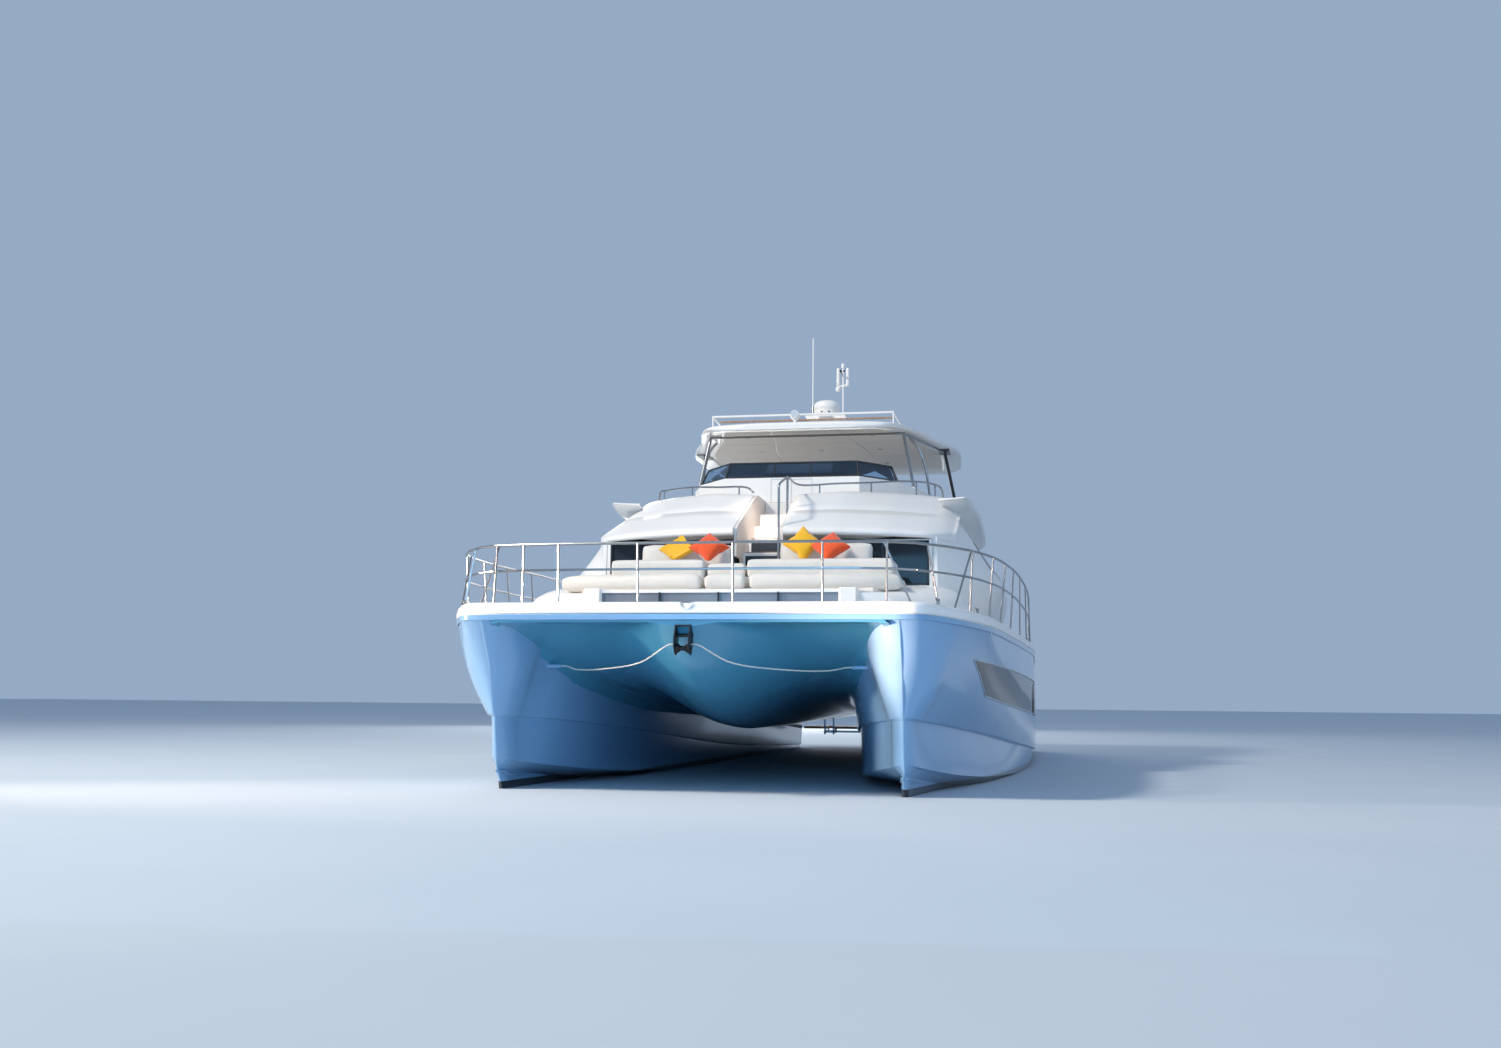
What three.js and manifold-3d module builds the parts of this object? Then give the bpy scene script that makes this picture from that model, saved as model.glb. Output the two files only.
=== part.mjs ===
// A power catamaran about 17 m long, afloat: two hulls, a bridge between them, a saloon and a flybridge.
// Millimetres. +Z is up and z = 0 is the waterline. The bow faces -Y and the port side is +X.
import * as THREE from 'three';
import { mergeVertices } from 'three/addons/utils/BufferGeometryUtils.js';
import Module from 'manifold-3d';

const wasm = await Module();
wasm.setup();

// Driving dimensions
const GAP = 0.3;
const HULL_X = 2290;
const DECK_THICK = 60;
const BULWARK_HIGH = 170;
const BULWARK_WIDE = 150;
const SALOON = { front: -3300, back: 3600, half: 2560, roof: 3980, wall: 60 };
const FLY = { floor: 4060, half: 2520, wing: 2900 };
const SHAFT = { x: 2290, y: 6350, z: -860, radius: 30, propeller: 300 };
const BOW_EYE = [1690, -7350, 1390];
const RUDDER = { x: 2290, y: 7050, stock: 32 };

// Shared paints
const PAINT = {
  gelcoat: { color: 0xf2f3f2, roughness: 0.25, metalness: 0 },
  hull: { color: 0xe4e9ee, roughness: 0.2, metalness: 0 },
  glass: { color: 0x1a2026, roughness: 0.08, metalness: 0.2 },
  steel: { color: 0xc9ccce, roughness: 0.2, metalness: 1 },
  bronze: { color: 0xb08d57, roughness: 0.35, metalness: 1 },
  black: { color: 0x181a1c, roughness: 0.5, metalness: 0 },
  cushion: { color: 0xf0eeea, roughness: 0.85, metalness: 0 },
  yellow: { color: 0xf0b414, roughness: 0.9, metalness: 0 },
  orange: { color: 0xf0521e, roughness: 0.9, metalness: 0 },
  rope: { color: 0xe8e6de, roughness: 0.9, metalness: 0 },
  iron: { color: 0x5c6063, roughness: 0.5, metalness: 0.6 },
};

const boat = new THREE.Group();

// Solids and their joins
function solid(geometry) {
  const bare = geometry.clone();
  bare.deleteAttribute('normal');
  bare.deleteAttribute('uv');
  const merged = mergeVertices(bare, 1e-3);
  return new wasm.Manifold(new wasm.Mesh({
    numProp: 3,
    vertProperties: new Float32Array(merged.attributes.position.array),
    triVerts: new Uint32Array(merged.index.array),
  }));
}

function geometryOf(manifold) {
  const mesh = manifold.getMesh();
  const geometry = new THREE.BufferGeometry();
  geometry.setAttribute('position', new THREE.BufferAttribute(mesh.vertProperties, 3));
  geometry.setIndex(new THREE.BufferAttribute(mesh.triVerts, 1));
  geometry.computeVertexNormals();
  return geometry;
}

function join(...pieces) {
  return pieces.reduce((whole, piece) => whole.add(piece));
}

function cut(piece, ...tools) {
  return tools.reduce((left, tool) => left.subtract(tool), piece);
}

function mirrorX(manifold) {
  return manifold.mirror([1, 0, 0]);
}

function add(name, manifold, paint) {
  const mesh = new THREE.Mesh(geometryOf(manifold), new THREE.MeshStandardMaterial(PAINT[paint]));
  mesh.name = name;
  boat.add(mesh);
  return mesh;
}

function addPair(name, manifold, paint) {
  add(`${name}_port`, manifold, paint);
  add(`${name}_starboard`, mirrorX(manifold), paint);
}

// Plain shapes
function box(x0, x1, y0, y1, z0, z1) {
  const geometry = new THREE.BoxGeometry(x1 - x0, y1 - y0, z1 - z0);
  geometry.translate((x0 + x1) / 2, (y0 + y1) / 2, (z0 + z1) / 2);
  return solid(geometry);
}

function bar(from, to, radius, sides = 8) {
  const a = new THREE.Vector3(...from);
  const b = new THREE.Vector3(...to);
  const along = b.clone().sub(a);
  const geometry = new THREE.CylinderGeometry(radius, radius, along.length(), sides);
  geometry.applyQuaternion(new THREE.Quaternion().setFromUnitVectors(
    new THREE.Vector3(0, 1, 0), along.clone().normalize()));
  geometry.translate(...a.add(b).multiplyScalar(0.5).toArray());
  return solid(geometry);
}

function tube(points, radius, steps, sides = 8) {
  const path = new THREE.CatmullRomCurve3(points.map((p) => new THREE.Vector3(...p)), false, 'centripetal');
  const ring = [];
  for (let k = 0; k < sides; k += 1) {
    const turn = (k / sides) * 2 * Math.PI;
    ring.push(new THREE.Vector2(radius * Math.cos(turn), radius * Math.sin(turn)));
  }
  return solid(new THREE.ExtrudeGeometry(new THREE.Shape(ring), { steps, extrudePath: path }));
}

// A closed skin over rings of equal length, with flat triangulated ends
function loft(rings) {
  const count = rings[0].length;
  const positions = rings.flat(2);
  const index = [];
  for (let i = 0; i + 1 < rings.length; i += 1) {
    for (let j = 0; j < count; j += 1) {
      const a = i * count + j;
      const b = i * count + ((j + 1) % count);
      index.push(a, b, b + count, a, b + count, a + count);
    }
  }
  const capEnd = (start, flip) => {
    for (let j = 0; j < count / 2 - 1; j += 1) {
      const quad = [start + j, start + j + 1, start + count - 2 - j, start + count - 1 - j];
      const faces = [[quad[0], quad[1], quad[2]], [quad[0], quad[2], quad[3]]];
      faces.forEach(([a, b, c]) => index.push(...(flip ? [a, c, b] : [a, b, c])));
    }
  };
  capEnd(0, true);
  capEnd((rings.length - 1) * count, false);
  const geometry = new THREE.BufferGeometry();
  geometry.setAttribute('position', new THREE.BufferAttribute(new Float32Array(positions), 3));
  geometry.setIndex(index);
  const manifold = solid(geometry);
  return manifold.volume() < 0 ? flipped(geometry) : manifold;
}

function flipped(geometry) {
  const index = Array.from(geometry.index.array);
  for (let i = 0; i < index.length; i += 3) {
    [index[i + 1], index[i + 2]] = [index[i + 2], index[i + 1]];
  }
  geometry.setIndex(index);
  return solid(geometry);
}

// An outline in plan, in x and y, raised from z0 to z1
function slab(outline, z0, z1) {
  const shape = new THREE.Shape(outline.map(([x, y]) => new THREE.Vector2(x, y)));
  const geometry = new THREE.ExtrudeGeometry(shape, { depth: z1 - z0, bevelEnabled: false });
  geometry.translate(0, 0, z0);
  return solid(geometry);
}

// An outline in y and z, as seen from the side, from x0 to x1
function sideSlab(outline, x0, x1) {
  const shape = new THREE.Shape(outline.map(([y, z]) => new THREE.Vector2(y, z)));
  const geometry = new THREE.ExtrudeGeometry(shape, { depth: x1 - x0, bevelEnabled: false });
  geometry.applyMatrix4(new THREE.Matrix4().set(0, 0, 1, x0, 1, 0, 0, 0, 0, 1, 0, 0, 0, 0, 0, 1));
  return solid(geometry);
}

function bothSides(outline) {
  return outline.concat(outline.slice().reverse().map(([x, y]) => [-x, y]));
}

// Straight interpolation in a table of rows [y, ...values]
function atY(table, y, column) {
  const next = table.findIndex((row) => row[0] >= y);
  if (next <= 0) return next === 0 ? table[0][column] : table[table.length - 1][column];
  const [low, high] = [table[next - 1], table[next]];
  const t = (y - low[0]) / (high[0] - low[0]);
  return low[column] + t * (high[column] - low[column]);
}

// Hull stations of the port hull. Columns: y, sheer height, gunwale x, upper knuckle z and outer x,
// lower knuckle z and outer x, outer waterline x, keel z, inner waterline x, inner lower knuckle x,
// inner upper knuckle x, height and x of the crease where the hull meets the bridge.
const STATIONS = [
  [-7500, 1870, 2920, 800, 2420, 300, 2400, 2340, -450, 2240, 2150, 2120, 1600, 1850],
  [-7000, 1866, 3050, 770, 2560, 240, 2560, 2440, -540, 2215, 1930, 1880, 1400, 1690],
  [-6000, 1860, 3230, 700, 2790, 150, 2800, 2630, -660, 2140, 1690, 1640, 1180, 1540],
  [-4300, 1847, 3400, 590, 3090, 60, 3120, 3060, -740, 2020, 1520, 1480, 1020, 1420],
  [-2000, 1822, 3620, 430, 3430, 0, 3440, 3370, -760, 1850, 1430, 1400, 900, 1340],
  [500, 1785, 3800, 280, 3710, -50, 3640, 3560, -740, 1690, 1370, 1340, 800, 1270],
  [4000, 1690, 3840, 150, 3780, -70, 3740, 3690, -620, 1440, 1260, 1230, 740, 1150],
  [7700, 1600, 3800, 60, 3740, -80, 3700, 3640, -420, 1180, 1160, 1150, 720, 1080],
];
const SHEER = 1;
const GUNWALE = 2;
const CREASE_Z = 12;
const CREASE_X = 13;
const KNUCKLE_STEP = 45;

// Stem of the port hull, from the forefoot up. Columns: y, z, half width outboard, half width inboard.
const STEM = [
  [-7480, -250, 12, 12],
  [-7740, 250, 14, 14],
  [-7760, 340, 22, 22],
  [-7860, 820, 30, 30],
  [-7890, 850, 60, 50],
  [-8050, 1350, 120, 90],
  [-8300, 1888, 230, 150],
];

// Deck edge in plan, ahead of the first station. Columns: y, sheer height, gunwale x.
const FORE_EDGE = [
  [-8400, 1890, 2250],
  [-8290, 1890, 2540],
  [-8120, 1888, 2640],
];
const DECK_EDGE = FORE_EDGE.concat(STATIONS);

function sheerAt(y) {
  return atY(DECK_EDGE, y, SHEER);
}

function hullRing([y, sheer, gunwale, k1z, k1x, k2z, k2x, wlx, keel, inWl, in2, in1, creaseZ, creaseX]) {
  const shoulderZ = k1z + 0.5 * (sheer - k1z);
  const shoulderX = k1x + KNUCKLE_STEP + 0.6 * (gunwale - k1x - KNUCKLE_STEP);
  const outer = [
    [HULL_X + 20, y, keel], [wlx, y, k2z - 90], [k2x, y, k2z], [k1x, y, k1z],
    [k1x + KNUCKLE_STEP, y, k1z + 30], [shoulderX, y, shoulderZ], [gunwale - 20, y, sheer],
  ];
  const inner = [
    [HULL_X - 20, y, keel], [inWl, y, k2z - 90], [in2, y, k2z], [in1, y, k1z],
    [in1 - 10, y, k1z + 30], [creaseX, y, creaseZ], [creaseX, y, sheer],
  ];
  return outer.concat(inner.reverse());
}

function stemRing() {
  const outer = STEM.map(([y, z, out]) => [HULL_X + out, y, z]);
  const inner = STEM.map(([y, z, , into]) => [HULL_X - into, y, z]);
  return outer.concat(inner.reverse());
}

const ENGINE = { x0: 1850, x1: 2750, y0: 3900, y1: 5600, z0: -260, z1: 760 };
const SKEG = { half: 80, depth: -1120, front: -1500, back: 5850 };

function makeHull() {
  const body = loft([stemRing(), ...STATIONS.map(hullRing)]);
  const skeg = sideSlab([
    [SKEG.front, -700], [SKEG.front + 900, SKEG.depth + 60], [SKEG.front + 1500, SKEG.depth],
    [SKEG.back - 250, SKEG.depth], [SKEG.back, -930], [SKEG.back, -480], [2500, -480],
  ], HULL_X - SKEG.half, HULL_X + SKEG.half);
  const well = box(ENGINE.x0 - 60, ENGINE.x1 + 60, ENGINE.y0 - 60, ENGINE.y1 + 60, ENGINE.z0 - GAP, 2200);
  const stockBore = bar([RUDDER.x, RUDDER.y, -600], [RUDDER.x, RUDDER.y, -180], RUDDER.stock + 1, 16);
  const shaftBore = bar([SHAFT.x, 5400, SHAFT.z], [SHAFT.x, 6400, SHAFT.z], SHAFT.radius + 1, 16);
  const strut = join(box(SHAFT.x - 14, SHAFT.x + 14, 6020, 6170, SHAFT.z, -420),
    bar([SHAFT.x, 6000, SHAFT.z], [SHAFT.x, 6190, SHAFT.z], 62, 16));
  const steps = sideSlab([[7600, 300], [8250, 300], [8250, 460], [7990, 460], [7990, 760], [7890, 760],
    [7890, 1060], [7790, 1060], [7790, 1360], [7600, 1360]], 1320, 3620);
  const bowEye = bar([BOW_EYE[0], BOW_EYE[1], BOW_EYE[2]], [BOW_EYE[0] + 300, BOW_EYE[1], BOW_EYE[2]], 22, 8);
  return cut(join(body, skeg, strut, steps, bowEye), well, stockBore, shaftBore);
}

// The long window in each hull's side is a skin let into the topsides
const HULL_WINDOW = [[-6400, 1490], [-5200, 1085], [400, 810], [600, 1000], [500, 1335], [-3600, 1455]];
const WINDOW_MIDDLE = [-2300, 1200];
const PANE = { thick: 20, share: 0.998, x0: 2600, x1: 4000 };
const wholeHull = makeHull();
const paneOutline = HULL_WINDOW.map((point) => point.map((value, k) => (
  WINDOW_MIDDLE[k] + PANE.share * (value - WINDOW_MIDDLE[k]))));
const paneHole = sideSlab(HULL_WINDOW, PANE.x0, PANE.x1)
  .subtract(wholeHull.translate([-PANE.thick - GAP, 0, 0]));
addPair('hull', wholeHull.subtract(paneHole), 'hull');
addPair('hull_glass', sideSlab(paneOutline, PANE.x0, PANE.x1).intersect(wholeHull)
  .subtract(wholeHull.translate([-PANE.thick, 0, 0])), 'glass');
addPair('engine', box(ENGINE.x0, ENGINE.x1, ENGINE.y0, ENGINE.y1, ENGINE.z0, ENGINE.z1), 'iron');

// Bridge between the hulls. Columns: y, roof height, half width and depth of the middle keel pod.
const TUNNEL = [
  [-8380, 1830, 300, 1825],
  [-8120, 1800, 300, 1790],
  [-7980, 1745, 330, 1290],
  [-7500, 1560, 420, 1040],
  [-7000, 1390, 460, 960],
  [-6000, 1180, 480, 830],
  [-4300, 1010, 480, 690],
  [-2000, 885, 450, 640],
  [500, 795, 400, 650],
  [4000, 738, 300, 690],
  [7700, 718, 200, 712],
];

function tunnelEdge(y) {
  if (y <= -8120) return [2140 - 0.9 * (-8120 - y), 1850];
  if (y < STATIONS[0][0]) {
    const t = (y + 8120) / (STATIONS[0][0] + 8120);
    return [2140 + t * (STATIONS[0][CREASE_X] - 2140), 1850 + t * (STATIONS[0][CREASE_Z] - 1850)];
  }
  return [atY(STATIONS, y, CREASE_X), atY(STATIONS, y, CREASE_Z)];
}

function makeBridge() {
  const rings = TUNNEL.map(([y, roof, podHalf, podZ]) => {
    const [edgeX, edgeZ] = tunnelEdge(y);
    const x = edgeX - GAP - 1;
    const half = [
      [30, podZ], [podHalf, roof], [x - 220, roof + 4], [x - 60, roof + 0.3 * (edgeZ - roof)],
      [x, Math.max(edgeZ, roof + 6)], [x, sheerAt(y)],
    ];
    return half.map(([px, pz]) => [px, y, pz]).concat(half.slice().reverse().map(([px, pz]) => [-px, y, pz]));
  });
  return loft(rings);
}
// The bracket on the transom in whose cheeks the arms of the swim platform turn
const PLATFORM = {
  pivotY: 7800, pivotZ: 350, arm: 420, armX: 500, top: 460, thick: 55, half: 1080, front: 7860, back: 8560,
};
const CHEEK = {
  reach: 110, thick: 30, outline: [[7660, 290], [7850, 290], [7850, 420], [7760, 705], [7660, 705]],
};
function makePlatformBracket() {
  const inside = PLATFORM.armX - CHEEK.reach;
  const outside = PLATFORM.armX + CHEEK.reach;
  const cheek = sideSlab(CHEEK.outline, inside, inside + CHEEK.thick);
  const outerCheek = sideSlab(CHEEK.outline, outside - CHEEK.thick, outside);
  const pad = box(inside, outside, 7500, 7700, 690, 740);
  const bore = bar([0, PLATFORM.pivotY, PLATFORM.pivotZ], [1000, PLATFORM.pivotY, PLATFORM.pivotZ], 26, 16);
  return cut(join(cheek, outerCheek, pad), bore);
}
const bracket = makePlatformBracket();
const nearHull = wholeHull.translate([-1, 0, 0]);
const bridge = cut(makeBridge(), nearHull, mirrorX(nearHull)).decompose()
  .sort((a, b) => b.volume() - a.volume())[0];
add('bridgedeck', join(bridge, bracket, mirrorX(bracket)), 'hull');

// Deck, from bow to transom, and the raised rim that runs around its edge
function deckBand(low, high, grow, rows = DECK_EDGE) {
  return loft(rows.map(([y, sheer, edge]) => {
    const x = edge + grow;
    return [[x, y, sheer + low], [x, y, sheer + high], [-x, y, sheer + high], [-x, y, sheer + low]];
  }));
}
const [firstRow, lastRow] = [DECK_EDGE[2], DECK_EDGE[DECK_EDGE.length - 1]];
const underDeck = deckBand(-900, DECK_THICK + GAP, 400,
  [[-9400, firstRow[SHEER], firstRow[GUNWALE]], ...DECK_EDGE.slice(2),
    [8600, lastRow[SHEER], lastRow[GUNWALE]]]);

function onDeck(piece) {
  return cut(piece, underDeck);
}

add('main_deck', deckBand(GAP, DECK_THICK, 0), 'gelcoat');

const BULWARK_BACK = 7000;
const NOTCH = { x: 30, radius: 70 };
function makeBulwark() {
  const front = DECK_EDGE[0][0];
  const rows = DECK_EDGE.filter(([y]) => y < BULWARK_BACK);
  const sheer = sheerAt(BULWARK_BACK);
  const edge = atY(DECK_EDGE, BULWARK_BACK, GUNWALE);
  const outer = deckBand(DECK_THICK + GAP, BULWARK_HIGH, 0, [...rows, [BULWARK_BACK, sheer, edge]]);
  const setBack = (y) => Math.max(y, front + BULWARK_WIDE + (y - front) * 0.9);
  const hollowRows = rows.map(([y, ...rest]) => [setBack(y), ...rest]);
  const inner = deckBand(0, 400, -BULWARK_WIDE, [...hollowRows, [BULWARK_BACK + 200, sheer, edge]]);
  const rimTop = sheerAt(front) + BULWARK_HIGH;
  const notch = bar([NOTCH.x, front - 200, rimTop], [NOTCH.x, front + 300, rimTop], NOTCH.radius, 16);
  return cut(outer, inner, notch);
}
add('bulwark', makeBulwark(), 'gelcoat');

// Offsets a path in plan inward and closes it into a band; the path runs from starboard to port
function bandOutline(path, thick) {
  const inner = path.map(([x, y], i) => {
    const before = path[Math.max(i - 1, 0)];
    const after = path[Math.min(i + 1, path.length - 1)];
    const along = new THREE.Vector2(after[0] - before[0], after[1] - before[1]).normalize();
    return [x - along.y * thick, y + along.x * thick];
  });
  return path.concat(inner.reverse());
}

function leaningBand(path, topPath, z0, z1, thick) {
  const ring = (p, z) => bandOutline(p, thick).map(([x, y]) => [x, y, z]);
  return loft([ring(path, z0), ring(topPath, z1)]);
}

function mirrorPath(half) {
  return half.slice().reverse().map(([x, y]) => [-x, y]).concat(half);
}

// Trunk cabin under the foredeck lounge, open at the bottom, with a long front window
const TRUNK = { top: 2330, wall: 50, windowLow: 2165, windowHigh: 2290, windowHalf: 1440 };
const TRUNK_HALF = [[1500, -6620], [1880, -5980], [2330, -5100], [2450, -3420]];
const TRUNK_IN = [[1460, -6570], [1840, -5940], [2280, -5080], [2400, -3470]];

function makeTrunk() {
  const shell = slab(bothSides(TRUNK_HALF), 1700, TRUNK.top);
  const room = slab(bothSides(TRUNK_IN), 1600, TRUNK.top - TRUNK.wall);
  const opening = box(-TRUNK.windowHalf, TRUNK.windowHalf, -6700, -6500, TRUNK.windowLow, TRUNK.windowHigh);
  return onDeck(cut(shell, room, opening));
}
add('trunk_cabin', makeTrunk(), 'gelcoat');
add('trunk_window', box(-TRUNK.windowHalf + GAP, TRUNK.windowHalf - GAP, -6605, -6590,
  TRUNK.windowLow + GAP, TRUNK.windowHigh - GAP), 'glass');

// Foredeck lounge: a moulded base with sun pads ahead, seat pads on it and back pads
const LOUNGE = { front: -5150, back: -3420, top: 2600, half: 2000 };
const SEAT_TOP = LOUNGE.top + GAP + 250;
add('lounge_base', slab(bothSides([[LOUNGE.half - 150, LOUNGE.front], [LOUNGE.half, LOUNGE.front + 200],
  [LOUNGE.half, LOUNGE.back]]), TRUNK.top + GAP, LOUNGE.top), 'gelcoat');
const BACK_TOP = 3180;
const CUSHIONS = [
  // name, x0, x1, y0, y1, top
  ['seat_pad_port', 60, 1970, -5080, -4330, SEAT_TOP],
  ['seat_pad_starboard', -1970, 50, -5080, -4330, SEAT_TOP],
  ['back_pad_port', 300, 1640, -4300, -4060, BACK_TOP],
  ['back_pad_starboard', -1640, -300, -4300, -4060, BACK_TOP],
];
function makeCushion([, x0, x1, y0, y1, z1]) {
  const soft = 40;
  const z0 = LOUNGE.top + GAP;
  const ring = (inset, z) => [
    [x0 + inset, y0 + inset, z], [x1 - inset, y0 + inset, z],
    [x1 - inset, y1 - inset, z], [x0 + inset, y1 - inset, z],
  ];
  return loft([ring(soft, z0), ring(0, z0 + soft), ring(0, z1 - soft), ring(soft, z1)]);
}
const SUN_PAD = {
  high: 160, soft: 40, outline: [[1900, -6240], [2130, -6120], [2190, -5900], [2190, -5170]],
};
function makeSunPad() {
  const middle = (SUN_PAD.outline[0][1] + SUN_PAD.outline[3][1]) / 2;
  const ring = (inset, z) => bothSides(SUN_PAD.outline.map(([x, y]) => (
    [x - inset, y + Math.sign(middle - y) * inset]))).map(([x, y]) => [x, y, z]);
  const { high, soft } = SUN_PAD;
  const base = TRUNK.top + GAP;
  return loft([ring(soft, base), ring(0, base + soft), ring(0, base + high - soft), ring(soft, base + high)]);
}
add('sun_pad', makeSunPad(), 'cushion');
CUSHIONS.forEach((row) => add(row[0], makeCushion(row), 'cushion'));

// Square throw pillows standing on one corner, each in its own place against the back pads
const PILLOW = { half: 205, puff: 75, lean: 0.32 };
const PILLOWS = [
  // name, x, y, paint
  ['pillow_yellow_port', 690, -4575, 'yellow'],
  ['pillow_orange_port', 1060, -4425, 'orange'],
  ['pillow_orange_starboard', -480, -4530, 'orange'],
  ['pillow_yellow_starboard', -950, -4420, 'yellow'],
];
function makePillow() {
  const reach = PILLOW.half * Math.SQRT2 - 20;
  const square = (r, y) => [[0, y, -r], [r, y, 0], [0, y, r], [-r, y, 0]];
  const crown = 0.55 * reach;
  return loft([square(crown, -PILLOW.puff), square(reach, -8), square(reach, 8), square(crown, PILLOW.puff)]);
}
PILLOWS.forEach(([name, x, y, paint]) => {
  const mesh = add(name, makePillow(), paint);
  mesh.rotation.x = PILLOW.lean * -1;
  mesh.position.set(x, y, SEAT_TOP + 3.5 + (PILLOW.half * Math.SQRT2 - 20) * Math.cos(PILLOW.lean));
});

// Underside of the sloping front brow, seen from the side
const BROW_UNDER = { lipZ: 3290, lipY: -3370, topY: -1300, topZ: SALOON.roof - 5 };
function underBrow(y) {
  if (y < BROW_UNDER.lipY) return BROW_UNDER.lipZ;
  const t = Math.min((y - BROW_UNDER.lipY) / (BROW_UNDER.topY - BROW_UNDER.lipY), 1);
  return BROW_UNDER.lipZ + t * (BROW_UNDER.topZ - BROW_UNDER.lipZ);
}

// Saloon walls, with the windows cut and a notch for the stair
const STAIR = { half: 300, front: -4000, back: -1255, steps: 6 };
const WINDOW = { low: 2650, high: 3250, front0: 380, front1: 2300 };
const DOOR = { x0: -880, x1: 20, high: 3640, thick: 40, clear: 6 };
const FRONT_HALF = 2360;

function makeSaloonFront() {
  const wall = box(-FRONT_HALF, FRONT_HALF, SALOON.front, SALOON.front + SALOON.wall, 1700, 3286);
  const [y0, y1] = [SALOON.front - 50, SALOON.front + 120];
  const glass = box(WINDOW.front0, WINDOW.front1, y0, y1, WINDOW.low, WINDOW.high);
  const stairNotch = box(-STAIR.half - GAP, STAIR.half + GAP, y0, y1, LOUNGE.top, 3400);
  return onDeck(cut(wall, glass, mirrorX(glass), stairNotch));
}
add('saloon_front', makeSaloonFront(), 'gelcoat');
addPair('front_glass', box(WINDOW.front0 + GAP, WINDOW.front1 - GAP, SALOON.front + 15, SALOON.front + 27,
  WINDOW.low + GAP, WINDOW.high - GAP), 'glass');

// Side walls flare out from the deck to the sill and lean in above it. Columns: y, x on the deck, x at the
// sill, x at the top.
const FRONT_CORNER = FRONT_HALF + SALOON.wall + GAP;
const SIDE_WALL = [
  [SALOON.front, FRONT_CORNER, FRONT_CORNER, FRONT_CORNER],
  [-2800, 2780, 2940, 2500],
  [-2000, 3030, 3270, SALOON.half - 30],
  [BROW_UNDER.topY, 3100, 3340, SALOON.half - 20],
  [600, 3130, 3360, SALOON.half - 20],
  [SALOON.back, 3130, 3340, SALOON.half - 20],
];
const SILL = 2720;
const FLARE_LOW = 1950;
const SIDE_OPENING = [-900, 2900, 2800, 3600];

function sideSkin(outside, inside) {
  return loft(SIDE_WALL.map(([y, low, wide, top]) => {
    const high = Math.min(underBrow(y) - 4, SALOON.roof - GAP);
    const profile = [[low, 1650], [low, FLARE_LOW], [wide, SILL], [top, high]];
    const outer = profile.map(([x, z]) => [x - outside, y, z]);
    const inner = profile.map(([x, z]) => [x - inside, y, z]);
    return outer.concat(inner.reverse());
  }));
}

const [WIN_Y0, WIN_Y1, WIN_Z0, WIN_Z1] = SIDE_OPENING;
addPair('saloon_side', onDeck(cut(sideSkin(0, SALOON.wall),
  box(2000, 4000, WIN_Y0, WIN_Y1, WIN_Z0, WIN_Z1))), 'gelcoat');
addPair('side_glass', sideSkin(20, 32).intersect(
  box(2000, 4000, WIN_Y0 + GAP, WIN_Y1 - GAP, WIN_Z0 + GAP, WIN_Z1 - GAP)), 'glass');

function makeSaloonAft() {
  const [low, wide, top] = SIDE_WALL[SIDE_WALL.length - 1].slice(1).map((x) => x - SALOON.wall - GAP);
  const half = [[low, 1650], [low, FLARE_LOW], [wide, SILL], [top, SALOON.roof - GAP]];
  const ring = (y) => half.map(([x, z]) => [x, y, z])
    .concat(half.slice().reverse().map(([x, z]) => [-x, y, z]));
  const doorway = box(DOOR.x0 + 60, DOOR.x1 - 60, SALOON.back - 200, SALOON.back + 200, 1500, DOOR.high - 60);
  const sides = sideSkin(-200, SALOON.wall + GAP);
  const wall = loft([ring(SALOON.back - SALOON.wall), ring(SALOON.back)]);
  return onDeck(cut(wall, doorway, sides, mirrorX(sides)));
}
add('saloon_aft', makeSaloonAft(), 'gelcoat');
const doorFloor = sheerAt(SALOON.back) + DECK_THICK;
const doorFront = SALOON.back + DOOR.clear;
const doorLeaf = box(DOOR.x0, DOOR.x1, doorFront, doorFront + DOOR.thick, doorFloor + DOOR.clear, DOOR.high);
const doorRunner = onDeck(box(DOOR.x0 + 60, DOOR.x1 - 60, doorFront + 12, doorFront + 28, 1700,
  doorFloor + 20));
add('saloon_door', join(doorLeaf, doorRunner), 'glass');

// Flybridge floor, which is the saloon's roof and shelters the cockpit
const FLY_OUTLINE = [
  [1500, -1400], [2300, -900], [FLY.half + 60, -500], [FLY.wing, -200], [FLY.wing, 4500], [2300, 5700],
];
const flySlab = slab(bothSides(FLY_OUTLINE), SALOON.roof, FLY.floor);
const stairWell = box(-345, 345, -1500, -1250, 3000, 5000);
const cockpitPost = onDeck(sideSlab([[5150, 1650], [5330, 1650], [5560, 4000], [5260, 4000]], 2330, 2420));
add('fly_deck', cut(join(flySlab, cockpitPost, mirrorX(cockpitPost)), stairWell), 'gelcoat');

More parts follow.
